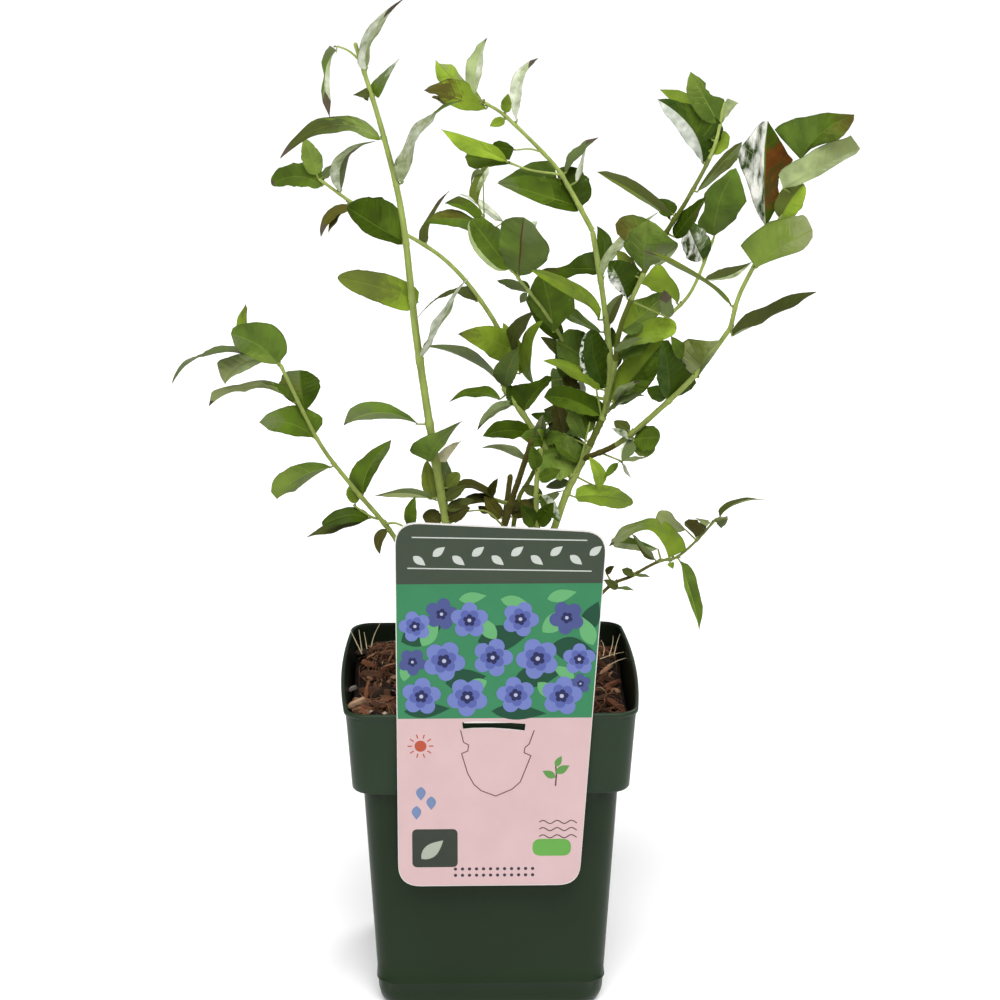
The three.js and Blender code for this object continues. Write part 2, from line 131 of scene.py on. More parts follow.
def surface(
    name,
    color,
    roughness=0.5,
    mottling=0.12,
    blotch=9.0,
    grain=0.7,
    relief=0.05,
    stretch=(1, 1, 1),
    specular=0.12,
    drift=None,
    span=0.2,
    high_color=None,
    high_span=(0.15, 0.45),
    light_share=STUDIO_SHARE,
):
    """A material with soft blotches in its colour and fine grain in its relief.

    blotch and grain are feature sizes in millimetres, relief is the bump's
    depth, drift is a second colour for the blotches, span is how softly they
    fade, high_color is what the colour becomes between the two heights of
    high_span, in metres, and light_share is how much light it gives back."""
    material = bpy.data.materials.new(name)
    material.use_nodes = True
    nodes = material.node_tree.nodes
    links = material.node_tree.links
    shader = nodes["Principled BSDF"]
    shader.inputs["Specular IOR Level"].default_value = specular

    place = nodes.new("ShaderNodeTexCoord")
    mapping = nodes.new("ShaderNodeMapping")
    mapping.inputs["Scale"].default_value = stretch
    links.new(place.outputs["Object"], mapping.inputs["Vector"])

    blotches = nodes.new("ShaderNodeTexNoise")
    blotches.inputs["Scale"].default_value = 1000 / blotch
    blotches.inputs["Detail"].default_value = BLOTCH_OCTAVES
    links.new(mapping.outputs["Vector"], blotches.inputs["Vector"])

    def ramp_of(base, other=None):
        ramp = nodes.new("ShaderNodeValToRGB")
        low, high = ramp.color_ramp.elements
        low.position, high.position = 0.5 - span, 0.5 + span
        low.color = [c * light_share * (1 - mottling) for c in other or base] + [1]
        high.color = [min(1, c * light_share * (1 + mottling)) for c in base] + [1]
        links.new(blotches.outputs["Fac"], ramp.inputs["Fac"])
        return ramp.outputs["Color"]

    tint = ramp_of(linear(color), linear(drift) if drift else None)
    if high_color:
        split = nodes.new("ShaderNodeSeparateXYZ")
        links.new(place.outputs["Object"], split.inputs["Vector"])
        height = nodes.new("ShaderNodeMapRange")
        for end, value in zip(("From Min", "From Max"), high_span):
            height.inputs[end].default_value = value
        links.new(split.outputs["Z"], height.inputs["Value"])
        mix = nodes.new("ShaderNodeMix")
        mix.data_type = "RGBA"
        links.new(height.outputs["Result"], mix.inputs["Factor"])
        links.new(tint, mix.inputs["A"])
        links.new(ramp_of(linear(high_color)), mix.inputs["B"])
        tint = mix.outputs["Result"]
    links.new(tint, shader.inputs["Base Color"])

    grains = nodes.new("ShaderNodeTexNoise")
    grains.inputs["Scale"].default_value = 1000 / grain
    grains.inputs["Detail"].default_value = GRAIN_OCTAVES
    links.new(mapping.outputs["Vector"], grains.inputs["Vector"])
    gloss = nodes.new("ShaderNodeMapRange")
    gloss.inputs["To Min"].default_value = max(LEAST_ROUGHNESS, roughness - GLOSS_SPREAD)
    gloss.inputs["To Max"].default_value = min(1, roughness + GLOSS_SPREAD)
    links.new(grains.outputs["Fac"], gloss.inputs["Value"])
    links.new(gloss.outputs["Result"], shader.inputs["Roughness"])
    bump = nodes.new("ShaderNodeBump")
    bump.inputs["Strength"].default_value = BUMP_STRENGTH
    bump.inputs["Distance"].default_value = relief * MM
    links.new(grains.outputs["Fac"], bump.inputs["Height"])
    links.new(bump.outputs["Normal"], shader.inputs["Normal"])
    return material


# ---- meshes ------------------------------------------------------------------

SHARP_ANGLE = 50  # degrees between two faces from which their edge is sharp
TURN = 6.28  # about a full turn in radians, for turns dealt out at random


def turns(count):
    """The angles of a circle's even steps."""
    return [2 * math.pi * i / count for i in range(count)]


class Build:
    """Collects faces in millimetres, and makes them one object."""

    def __init__(self, name):
        self.name = name
        self.points = []
        self.faces = []
        self.paints = []
        self.materials = []

    def paint(self, material):
        """The slot of a material in this build."""
        if material not in self.materials:
            self.materials.append(material)
        return self.materials.index(material)

    def add(self, points):
        """Keeps points and returns their indexes."""
        start = len(self.points)
        self.points.extend(points)
        return list(range(start, start + len(points)))

    def face(self, corners, material):
        if len(set(corners)) > 2:
            self.faces.append(list(dict.fromkeys(corners)))
            self.paints.append(self.paint(material))

    def loft(self, rings, material, caps=True):
        """A closed body through rings of points. A cap is a fan on its middle."""
        indexes = [self.add(ring) for ring in rings]
        count = len(rings[0])
        for low, high in zip(indexes, indexes[1:]):
            for i in range(count):
                j = (i + 1) % count
                self.face([low[i], low[j], high[j], high[i]], material)
        if caps:
            for ring, turn in ((indexes[0], -1), (indexes[-1], 1)):
                middle = sum((self.points[i] for i in ring), Vector()) / count
                hub = self.add([middle])[0]
                for i in range(count):
                    pair = [ring[i], ring[(i + 1) % count]][::turn]
                    self.face([hub, *pair], material)
        return indexes

    def tube(self, path, radii, material, sides=6, relief=None):
        """A closed tube along a path, with one radius to each of its points."""
        rings = []
        heading = (path[1] - path[0]).normalized()
        aside = heading.orthogonal().normalized()
        for i, (place, radius) in enumerate(zip(path, radii)):
            before = path[max(0, i - 1)]
            after = path[min(len(path) - 1, i + 1)]
            heading = (after - before).normalized()
            aside = (aside - heading * aside.dot(heading)).normalized()
            away = heading.cross(aside)
            ring = []
            for angle in turns(sides):
                out = aside * math.cos(angle) + away * math.sin(angle)
                swell = relief(i, angle, place + out * radius) if relief else 0
                ring.append(place + out * (radius + swell))
            rings.append(ring)
        self.loft(rings, material)

    def repaint(self, start, end, material):
        """Gives the faces from start to end, in the order of making, a material."""
        for face in range(start, end):
            self.paints[face] = self.paint(material)

    def make(self, slot, *nodes, sharp_angle=SHARP_ANGLE):
        """The finished object, in place of CAD nodes. Its slot is passed on but not used."""
        mesh = bpy.data.meshes.new(self.name)
        mesh.from_pydata([p * MM for p in self.points], [], self.faces)
        for material in self.materials:
            mesh.materials.append(material)
        mesh.polygons.foreach_set("material_index", self.paints)
        mesh.polygons.foreach_set("use_smooth", [True] * len(self.faces))
        mesh.set_sharp_from_angle(angle=math.radians(sharp_angle))
        mesh.update()
        return place_piece(bpy.data.objects.new(self.name, mesh), slot, *nodes)


def place_piece(piece, slot, *nodes):
    """Puts a piece into the scene, under the root, and hides the CAD nodes it replaces. Its slot is not used."""
    if not piece.users_collection:
        bpy.context.scene.collection.objects.link(piece)
    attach(piece, "root")
    if nodes:
        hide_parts(*nodes)
    return piece


# ---- limbs -------------------------------------------------------------------

NUDGE = 0.01  # share of a curve, each way, over which its heading is taken
LENGTH_STEPS = 40
PIXEL_STEPS = 200


class Limb:
    """A stem, bough or twig: a smooth curve that tapers from foot to tip."""

    def __init__(self, points, foot, tip):
        self.points = [Vector(p) for p in points]
        self.foot = foot
        self.tip = tip
        self.joints = []  # shares of the curve at which leaves stand

    def at(self, share):
        """A point of the uniform Catmull-Rom curve through the points."""
        last = len(self.points) - 1
        place = min(max(share, 0), 1) * last
        i = min(int(place), last - 1)
        t = place - i
        p1, p2 = self.points[i], self.points[i + 1]
        p0 = self.points[i - 1] if i else p1 * 2 - p2
        p3 = self.points[i + 2] if i + 2 <= last else p2 * 2 - p1
        a = (p3 - p0 + (p1 - p2) * 3) / 2
        b = p0 - p1 * 2.5 + p2 * 2 - p3 / 2
        return ((a * t + b) * t + (p2 - p0) / 2) * t + p1

    def heading(self, share):
        """The curve's direction at a share of its length."""
        ahead, behind = self.at(min(1, share + NUDGE)), self.at(max(0, share - NUDGE))
        return (ahead - behind).normalized()

    def radius(self, share):
        """The limb's radius there."""
        return self.foot + (self.tip - self.foot) * share

    def length(self):
        """The limb's length along its curve."""
        steps = [self.at(i / LENGTH_STEPS) for i in range(LENGTH_STEPS + 1)]
        return sum((b - a).length for a, b in zip(steps, steps[1:]))

    def share_at_pixel(self, pixel):
        """The share of the curve that shows nearest to a pixel."""
        shares = [i / PIXEL_STEPS for i in range(PIXEL_STEPS + 1)]
        return min(shares, key=lambda s: (photo_pixel(self.at(s)) - Vector(pixel)).length)


# The limbs of the CAD model: points judged from the photo, and the radii at both ends.
LIMBS = {
    "stem_tall_left": Limb(
        [(-2, -6, 128), (-19, -10, 217), (-31, -20, 299), (-37, -28, 357), (-45, -34, 395),
         (-56, -42, 434)],
        2.15,
        0.85,
    ),
    "stem_main": Limb(
        [(8, 4, 128), (23, 6, 185), (34, 7, 222), (43, 10, 241), (52, 10, 261)],
        2.0, 1.4,
    ),
    "bough_arch_low": Limb([(38, 8, 233), (27, 14, 244), (15, 20, 261), (7, 26, 271)], 1.5, 1.3),
    "bough_arch_high": Limb(
        [(7, 26, 271), (9, 32, 286), (-1, 42, 305), (-21, 54, 326), (-56, 66, 345), (-77, 72, 359)],
        1.3, 0.7,
    ),
    "stem_tall_mid": Limb([(52, 10, 261), (55, 14, 281), (52, 20, 312), (47, 24, 343)], 1.5, 1.25),
    "bough_top_mid": Limb(
        [(47, 24, 343), (37, 27, 361), (29, 28, 373), (9, 28, 393), (-1, 26, 400)],
        1.2, 0.65,
    ),
    "stem_old": Limb(
        [(-9, 10, 128), (0, 8, 175), (7, 2, 212), (14, -6, 238), (19, -12, 256)],
        1.7, 1.2,
    ),
    "stem_centre": Limb(
        [(5, 18, 128), (12, 22, 208), (20, 25, 229), (38, 27, 261), (36, 24, 287), (26, 2, 309),
         (12, -20, 331)],
        1.25,
        0.65,
    ),
    "bough_mid_right": Limb(
        [(52, 10, 261), (56, 2, 284), (58, -10, 307), (67, -22, 333)],
        1.2, 1.0,
    ),
    "bough_top_right": Limb(
        [(67, -22, 333), (76, -26, 351), (85, -30, 367), (95, -32, 388), (99, -32, 408)], 1.15, 0.65
    ),
    "bough_back_right": Limb(
        [(52, 10, 261), (62, 26, 281), (80, 42, 297), (94, 52, 309), (105, 62, 332)], 1.15, 0.7
    ),
    "bough_side_low": Limb(
        [(43, 10, 241), (58, -4, 252), (75, -18, 271), (90, -30, 290), (103, -40, 312)], 1.3, 1.05
    ),
    "bough_side_high": Limb(
        [(103, -40, 312), (106, -44, 327), (114, -50, 346), (128, -58, 376)],
        1.1, 0.75,
    ),
    "shoot_low_left": Limb(
        [(-14, -3, 128), (-27, -10, 181), (-42, -16, 212), (-61, -24, 239), (-75, -30, 261),
         (-90, -40, 297)],
        1.35,
        0.75,
    ),
    "shoot_low_right": Limb(
        [(23, 11, 128), (51, 17, 173), (67, 22, 182), (79, 27, 187), (88, 31, 188), (98, 36, 195),
         (107, 40, 204)],
        0.85,
        0.55,
    ),
    "shoot_green": Limb([(22, -7, 128), (23, -8, 180), (21, -11, 230), (23, -12, 252)], 1.35, 1.0),
    "stem_cut": Limb([(0, 15, 128), (4, 11, 184), (10, 6, 235)], 1.5, 1.25),
}
BROWN_LIMBS = ("stem_old", "stem_cut")
DARK_STRETCHES = {  # darker stretches of a green limb, from one share to another: brown and mossy bark, and olive, a darker bark with painted shade
    "bough_side_low": [("brown", 0, 0.24)],
    "shoot_low_right": [("brown", 0, 0.5), ("mossy", 0.5, 1)],
    "stem_centre": [("olive", 0, 0.72)],
    "stem_main": [("olive", 0.83, 0.98)],
    "bough_mid_right": [("olive", 0.42, 0.84)],
    "bough_top_right": [("olive", 0, 0.5), ("mossy", 0.5, 0.7)],
    "bough_back_right": [("mossy", 0, 0.5)],
}
BARKS = {  # colour, drift, roughness and mottling
    "brown": ((84, 82, 30), (112, 106, 54), 0.7, 0.3),
    # olive is a darker bark that also paints the shade on shaded stretches of the limbs
    "olive": ((92, 104, 30), (124, 136, 60), 0.6, 0.25),
    "mossy": ((116, 128, 60), (146, 158, 92), 0.55, 0.25),
}


def twig(parent, pixels, foot, tip):
    """A side twig. Each of its points is (pixel x, pixel y, mm in front of its parent)."""
    limb = LIMBS[parent]
    share = limb.share_at_pixel(pixels[0][:2])
    root = limb.at(share)
    limb.joints.append(share)
    rest = [photo_place(p[:2], root.y - p[2]) for p in pixels[1:]]
    return Limb([root, *rest], foot, tip)


TWIGS = {
    "twig_top_side": twig("bough_top_mid", [(556, 178, 0), (530, 170, 2), (503, 160, 4)], 0.6, 0.4),
    "twig_top_dark": twig(
        "bough_top_mid", [(543, 153, 0), (530, 149, 2), (516, 150, 3)], 0.45, 0.35
    ),
    "twig_centre": twig("stem_centre", [(518, 278, 0), (500, 245, -2), (484, 218, -4)], 0.6, 0.42),
    "twig_low_left": twig(
        "shoot_low_left", [(398, 522, 0), (385, 521, 1), (372, 517, 2), (353, 505, 3)], 0.6, 0.4
    ),
    "twig_heart": twig(
        "stem_old", [(508, 530, 0), (500, 523, 4), (485, 511, 8), (460, 512, 10)], 0.55, 0.35
    ),
    "twig_pale": twig("stem_main", [(575, 480, 0), (580, 462, 2), (590, 422, 4)], 0.55, 0.4),
    "twig_fork": twig("stem_main", [(604, 420, 0), (599, 404, 2), (596, 388, 4)], 0.55, 0.4),
    "twig_left_spur": twig("stem_tall_left", [(358, 62, 0), (349, 51, 2), (337, 46, 4)], 0.5, 0.35),
    "twig_star": twig("bough_side_low", [(600, 452, 0), (611, 457, 2), (621, 461, 4)], 0.5, 0.35),
    "twig_low_stub": twig(
        "shoot_low_left", [(387, 521, 0), (395, 523, 2), (403, 526, 3)], 0.55, 0.45
    ),
}

# ---- leaves as traced --------------------------------------------------------

# base, via and tip are pixels of the photograph on a leaf's midrib, and width
# is the width it shows there, in pixels. lean is how far the tip stands behind
# the base in mm. Left and right are as seen along the leaf from base to tip.
Leaf = namedtuple(
    "Leaf",
    "base tip lean width tone via shape fold halves skew rim dry ragged behind left right on",
)

# Outlines: how fast the blade widens from its foot and narrows to its tip.
ROUND = (0.5, 0.5)
EGG = (0.42, 0.95)
OVAL = (0.55, 0.85)
LANCE = (0.7, 1.05)
DART = (0.3, 1.0)


def leaf(
    base,
    tip,
    lean,
    width,
    tone,
    via=None,
    shape=OVAL,
    fold=None,
    halves=None,  # a tone, or tones from foot to tip, for each half; besides its colour, a half may hold painted sheen or painted shade
    skew=0.5,  # the left half's share of the width
    rim=None,  # ("left" or "right", tone) of a margin painted with a highlight
    dry=0.04,  # share of the length that has dried, from the tip
    ragged=0.04,
    behind=0,  # mm from its limb back to the leaf's base
    left=None,  # pixels on each margin from foot to tip, where shape isn't enough
    right=None,
    on=None,  # a twig, where it isn't the spray's own limb
):
    return Leaf(base, tip, lean, width, tone, via, shape, fold, halves, skew, rim, dry, ragged, behind, left, right, on)


SPRAYS = {
    "leaves_left_tip": ("stem_tall_left", [
        leaf((363, 74), (403, -3), -6, 12, ("white", "white", "pale", "olive"), via=(372, 38),
             shape=(0.6, 1.1), dry=0.28, ragged=0.06,
             halves=(("white", "white", "white", "pale"), ("pale", "pale", "white", "pale"))),
        leaf((336, 45), (330, 117), -6, 12, "white", via=(325, 76),
             halves=(("pale", "white", "pale"), ("moss", "leaf", "moss", "pale")), dry=0.3, fold=8,
             on="twig_left_spur",
             left=[(333, 56), (331, 70), (330, 82), (330, 95), (331, 106)],
             right=[(329, 50), (324, 58), (321, 70), (325, 82), (328, 95), (330, 106)]),
        leaf((374, 98), (399, 59), -4, 14, "dark", via=(382, 82), shape=DART, dry=0,
             halves=(("green", "moss", "moss", "silver"), ("green", "moss", "silver"))),
        leaf((374, 95), (353, 95), -4, 14, "dusk", via=(366, 94), shape=DART),
    ]),
    "leaves_left_wings": ("stem_tall_left", [
        leaf((381, 139), (280, 155), -16, 18, ("lime", "drab", "dusk", "dusk"), via=(332, 125),
             shape=(0.5, 0.85), fold=6, dry=0.12),
        leaf((402, 183), (460, 99), -14, 10, ("pale", "pale", "pale", "moss"), via=(420, 131),
             shape=(0.6, 0.8), dry=0.06, ragged=0.07,
             halves=(("sage", "white", "sage", "moss"), ("sage", "white", "sage", "moss"))),
    ]),
    "leaves_left_broad": ("stem_tall_left", [
        leaf((408, 244), (347, 207), -10, 43, "dark", via=(376, 226), fold=5,
             halves=("dark", ("green", "dark")), behind=3,
             left=[(398, 245), (388, 242), (376, 238), (364, 231), (354, 221), (349, 213)],
             right=[(407, 232), (404, 212), (394, 202), (382, 197), (368, 197), (357, 199), (350, 203)]),
    ]),
    "leaves_left_mid": ("stem_tall_left", [
        leaf((418, 302), (337, 278), -10, 31, ("lime", "olive", "olive", "olive"), via=(376, 287),
             shape=(0.3, 0.55), fold=4, behind=3),
        leaf((421, 362), (465, 275), -10, 8, "pale", via=(443, 319), shape=LANCE, halves=("white", "sage")),
    ]),
    "leaves_left_low": ("stem_tall_left", [
        leaf((418, 424), (344, 425), -8, 16, "light", via=(380, 413),
             halves=("moss", ("leaf", "leaf", "moss")), dry=0.06,
             left=[(404, 421), (390, 421), (370, 422), (354, 422)],
             right=[(408, 416), (400, 412), (392, 408), (383, 404), (372, 403), (362, 405), (354, 409),
                    (349, 416)]),
    ]),
    "leaves_left_foot": ("stem_tall_left", [
        leaf((428, 461), (462, 421), -8, 27, "green", via=(440, 441), dry=0.06, behind=-4,
             halves=(("leaf", "dull", "dull"), ("leaf", "dull", "moss")),
             left=[(422, 457), (418, 450), (417, 443), (421, 437), (429, 433), (440, 430), (452, 425)],
             right=[(434, 459), (438, 454), (444, 448), (450, 441), (455, 432)]),
        leaf((438, 464), (461, 441), -6, 12, "bleached", via=(448, 451),
             left=[(438, 454), (445, 447), (453, 443)],
             right=[(446, 462), (451, 455), (456, 448)]),
        leaf((441, 501), (438, 453), 2, 22, "umber", via=(442, 477), behind=3,
             halves=(("dusk", "moss"), ("umber", "moss", "moss")), dry=0,
             left=[(436, 490), (434, 475), (435, 462)],
             right=[(448, 495), (453, 483), (450, 468), (444, 458)]),
        leaf((435, 500), (427, 460), 8, 17, "olive", via=(429, 481)),
        leaf((447, 488), (459, 473), -4, 14, "olive", shape=ROUND, dry=0),
        leaf((431, 499), (375, 496), -4, 9, "moss", via=(405, 493), dry=0.12, halves=("dusty", "moss"),
             left=[(415, 499), (400, 499), (386, 498)],
             right=[(430, 495), (420, 491), (410, 489), (397, 490), (385, 493)]),
        leaf((440, 524), (425, 512), 6, 17, "umber", shape=ROUND),
        leaf((447, 510), (474, 500), -10, 12, "dusk", shape=OVAL),
        leaf((447, 520), (470, 508), -12, 18, "umber", shape=OVAL, ragged=0.08),
        leaf((445, 500), (466, 486), -8, 13, "dusk", shape=OVAL, ragged=0.06),
    ]),
    "leaves_arch_tip": ("bough_arch_high", [
        leaf((322, 186), (271, 184), 8, 24, "green", via=(299, 177), shape=(0.42, 0.55), skew=0.42,
             dry=0.07, ragged=0.09),
        leaf((317, 175), (304, 138), 4, 21, "light", via=(311, 157), shape=OVAL, ragged=0.08),
        leaf((320, 179), (336, 164), -4, 9, "moss", shape=OVAL, ragged=0.12),
        leaf((339, 193), (376, 142), -12, 11, ("white", "moss", "brown", "brown"), via=(345, 158),
             shape=LANCE, ragged=0.06,
             halves=(("white", "sage", "sage", "moss"), ("moss", "dusk", "brown", "brown"))),
        leaf((353, 207), (321, 237), -10, 11, "brown", via=(331, 215), shape=OVAL, dry=0.3, ragged=0.12),
        leaf((343, 211), (328, 232), -10, 5, "brown", shape=LANCE, ragged=0.1),
    ]),
    "leaves_arch_rise": ("bough_arch_high", [
        leaf((425, 247), (449, 191), 6, 10, "dusk", via=(430, 218),
             halves=(("dusk", "brown", "dusk"), "dusk"), dry=0.3, ragged=0.03,
             left=[(420, 237), (422, 226), (428, 217), (434, 207), (440, 198)],
             right=[(429, 240), (430, 230), (433, 219), (437, 210), (442, 201)]),
    ]),
    "leaves_bend_high": ("bough_arch_high", [
        leaf((479, 301), (417, 316), 8, 6, "dusk", via=(453, 293), shape=LANCE),
        leaf((498, 380), (423, 346), 10, 10, "moss", via=(463, 357), shape=LANCE),
        leaf((512, 351), (458, 334), -10, 32, ("lime", "lime", "olive"), via=(487, 339), shape=(0.28, 0.9),
             dry=0.08),
        leaf((511, 348), (535, 311), -14, 17, "dusk", via=(517, 330), shape=EGG),
        leaf((520, 374), (515, 336), 4, 9, "lime", via=(520, 355), shape=LANCE),
        leaf((522, 366), (503, 323), 8, 16, "lime", shape=OVAL),
    ]),
    "leaves_bend_low": ("bough_arch_low", [
        leaf((503, 391), (517, 349), -12, 24, "moss", via=(508, 371), fold=4, halves=("dull", "dull"),
             dry=0,
             left=[(498, 381), (496, 370), (498, 361), (504, 354), (510, 350)],
             right=[(508, 387), (515, 379), (520, 368), (521, 357)]),
        leaf((500, 399), (449, 401), 8, 11, "green", via=(476, 393), shape=LANCE),
        leaf((514, 403), (477, 430), -8, 10, "pale", via=(494, 412), shape=OVAL, dry=0.14),
        leaf((530, 435), (483, 436), -8, 20, "dark", via=(508, 431),
             left=[(520, 438), (510, 441), (500, 440), (490, 439)],
             right=[(527, 427), (515, 422), (502, 422), (493, 424), (487, 430)]),
        leaf((527, 462), (482, 446), -6, 8, "pale", via=(506, 451), shape=LANCE),
        leaf((524, 412), (552, 377), -10, 32, "dark", via=(534, 394), fold=6,
             halves=("dark", ("green", "dark")),
             left=[(517, 407), (511, 399), (509, 391), (513, 384), (522, 381), (532, 381), (541, 379),
                   (546, 375)],
             right=[(530, 408), (537, 400), (543, 391), (550, 384)]),
        leaf((522, 407), (508, 384), 4, 15, "deep", shape=OVAL),
        leaf((553, 420), (531, 414), 4, 10, "deep", shape=OVAL),
        leaf((553, 434), (544, 409), 8, 18, "umber", dry=0, halves=("umber", "dusk"),
             left=[(549, 430), (547, 420)],
             right=[(559, 432), (562, 420), (561, 408), (553, 404)]),
        leaf((545, 440), (521, 437), -8, 17, "leaf", dry=0, halves=("green", ("light", "leaf", "leaf")),
             left=[(541, 447), (533, 447), (526, 442)],
             right=[(541, 430), (533, 428), (525, 431)]),
        leaf((543, 438), (543, 415), -9, 12, "moss", shape=OVAL, dry=0, halves=("dusty", "moss")),
        leaf((544, 439), (538, 430), -12, 8, "sun", shape=OVAL, dry=0),
        leaf((545, 440), (563, 434), -10, 14, "leaf", shape=OVAL, dry=0),
        leaf((547, 444), (560, 458), -8, 12, "green", shape=OVAL, dry=0),
        leaf((545, 443), (541, 470), -6, 16, "leaf", dry=0, halves=("leaf", "green"),
             left=[(549, 452), (550, 462), (546, 468)],
             right=[(538, 448), (535, 457), (536, 465)]),
    ]),
    "leaves_fork": ("stem_main", [
        leaf((602, 416), (545, 397), -14, 27, "dark", via=(574, 401),
             halves=(("green", "green", "dark"), "dark"), fold=5, dry=0,
             left=[(592, 417), (580, 415), (570, 411), (560, 409), (550, 405)],
             right=[(600, 405), (592, 397), (580, 391), (570, 388), (560, 386), (551, 389)]),
        leaf((608, 412), (644, 395), -14, 6, "moss", via=(625, 400), shape=LANCE, behind=-5),
        leaf((616, 400), (642, 380), -16, 9, "pale", via=(627, 388), shape=OVAL, dry=0.25, ragged=0.1,
             behind=-7),
        leaf((564, 434), (556, 403), 10, 19, "umber", shape=OVAL),
        leaf((598, 432), (570, 412), 6, 23, "green", shape=OVAL),
        leaf((600, 425), (584, 400), 10, 18, "dark", shape=OVAL),
        leaf((588, 458), (551, 440), 4, 24, "dark", via=(569, 446), shape=OVAL),
        leaf((577, 474), (540, 476), -6, 28, "light", via=(558, 468), dry=0,
             halves=(("light", "moss"), ("light", "leaf")),
             left=[(568, 480), (556, 483), (546, 481)],
             right=[(573, 462), (564, 455), (553, 453), (543, 457), (539, 466)]),
        leaf((583, 464), (553, 441), -9, 17, "green", dry=0, halves=("green", ("leaf", "light", "green")),
             left=[(575, 463), (566, 459), (558, 452)],
             right=[(583, 454), (578, 443), (570, 436), (560, 434)]),
        leaf((585, 440), (568, 410), -4, 18, "leaf", dry=0, halves=(("leaf", "light"), "leaf"),
             left=[(576, 436), (569, 429), (565, 420)],
             right=[(586, 430), (582, 420), (577, 412)]),
        leaf((570, 480), (545, 487), 6, 10, "moss", shape=OVAL),
    ]),
    "leaves_top": ("bough_top_mid", [
        leaf((486, 109), (425, 90), -8, 29, ("lime", "lime", "brown", "brown"), via=(457, 98), dry=0.1,
             fold=4,
             left=[(478, 111), (465, 111), (456, 109), (447, 104), (440, 101), (436, 94), (431, 89)],
             right=[(482, 100), (474, 88), (465, 82), (455, 79), (446, 79), (436, 84), (430, 86)]),
        leaf((472, 96), (436, 60), 4, 25, "light", via=(452, 78), halves=("sun", ("dusty", "sun", "dusty")),
             fold=4,
             left=[(462, 93), (448, 88), (439, 81), (436, 70)],
             right=[(470, 86), (463, 78), (458, 70), (452, 65), (446, 64), (439, 64)]),
        leaf((475, 95), (487, 38), 6, 16, "white", via=(477, 68),
             halves=("pale", ("sage", "white", "sage")), fold=8, dry=0.1,
             left=[(469, 86), (466, 78), (467, 68), (469, 58), (474, 52), (477, 45)],
             right=[(479, 86), (483, 72), (485, 60), (484, 50)]),
        leaf((518, 123), (538, 58), 10, 12, "white", via=(518, 88),
             halves=(("white", "white", "sage"), "white"), fold=8, dry=0.2,
             left=[(513, 108), (511, 94), (513, 80), (516, 72), (523, 66), (530, 61)],
             right=[(521, 108), (523, 94), (524, 82), (527, 70), (532, 63)]),
        leaf((503, 118), (508, 94), -4, 11, "lime", shape=OVAL),
        leaf((507, 118), (490, 126), -5, 10, "lime", shape=OVAL),
        leaf((446, 103), (432, 97), -10, 5, "brown", shape=OVAL, ragged=0.1),
    ]),
    "leaves_top_side": ("bough_top_mid", [
        leaf((510, 164), (443, 129), -10, 21, "sun", via=(478, 147), halves=("sun", ("lime", "sun", "sun")),
             dry=0.02, on="twig_top_side",
             left=[(500, 161), (490, 158), (478, 156), (466, 153), (459, 149), (452, 143), (447, 136)],
             right=[(504, 155), (498, 148), (490, 143), (480, 140), (468, 136), (455, 132)]),
        leaf((514, 164), (465, 157), 6, 19, "green", via=(488, 160), dry=0, on="twig_top_side",
             left=[(500, 166), (485, 168), (475, 169), (468, 166)],
             right=[(503, 158), (488, 153), (470, 151)]),
        leaf((517, 152), (491, 147), 10, 20, "dark", dry=0, on="twig_top_dark",
             left=[(512, 160), (505, 160), (500, 154), (495, 148)],
             right=[(514, 148), (508, 143), (500, 141), (494, 142)]),
        leaf((566, 172), (598, 137), 10, 9, "moss", via=(579, 152), shape=LANCE, dry=0.3, ragged=0.12),
        leaf((576, 182), (585, 148), 10, 5, "white", via=(583, 166), shape=LANCE),
    ]),
    "leaves_mid_fan": ("bough_top_mid", [
        leaf((557, 180), (499, 181), -6, 27, "leaf", fold=8, behind=3, dry=0,
             halves=("olive", ("leaf", "leaf", "green")),
             left=[(545, 184), (530, 186), (515, 187), (506, 185)],
             right=[(559, 169), (553, 161), (545, 161), (529, 164), (517, 170), (508, 176)]),
        leaf((580, 207), (499, 182), -10, 29, ("dark", "green", "green", "moss"), shape=(0.3, 0.75),
             skew=0.32, fold=8, dry=0.03, behind=2.5),
        leaf((582, 206), (559, 168), 6, 27, "dark", shape=(0.42, 0.5), skew=0.3, behind=3),
    ]),
    "leaves_mid_cross": ("stem_tall_mid", [
        leaf((602, 270), (537, 272), 10, 27, ("dark", "dark", "umber"), behind=3, via=(570, 269), fold=6,
             left=[(595, 276), (587, 274), (577, 275), (568, 279), (556, 277), (546, 274)],
             right=[(594, 251), (585, 253), (575, 258), (568, 265), (558, 268), (547, 268)]),
        leaf((602, 262), (597, 226), 12, 18, "dark", via=(604, 243), shape=EGG),
        leaf((603, 281), (658, 213), -6, 11, "pale", via=(617, 247), dry=0.06,
             halves=("sage", ("pale", "white", "pale")),
             left=[(602, 268), (606, 254), (615, 241), (628, 228), (643, 218)],
             right=[(607, 269), (615, 258), (626, 244), (638, 231), (650, 219)]),
        leaf((599, 320), (530, 270), -46, 18, ("sun", "lime", "light"), via=(570, 289), fold=7,
             halves=("lime", ("sun", "lime", "light")),
             left=[(592, 312), (585, 306), (576, 301), (566, 297), (556, 291), (546, 284), (537, 277)],
             right=[(598, 308), (592, 299), (582, 290), (571, 282), (559, 276), (546, 271), (538, 269)]),
        leaf((601, 332), (553, 303), -10, 12, "green", via=(574, 318), shape=LANCE),
        leaf((608, 328), (624, 293), 4, 13, "dull", via=(613, 309), shape=OVAL, halves=("moss", "dusk")),
        leaf((607, 352), (612, 327), 8, 12, "deep", shape=OVAL),
    ]),
    "leaves_mid_low": ("stem_tall_mid", [
        leaf((605, 388), (592, 329), -3, 31, "deep", behind=3, via=(594, 357), shape=(0.42, 0.55),
             halves=("gloss", ("deep", "dark", "deep")), rim=("left", "speckle"), fold=4),
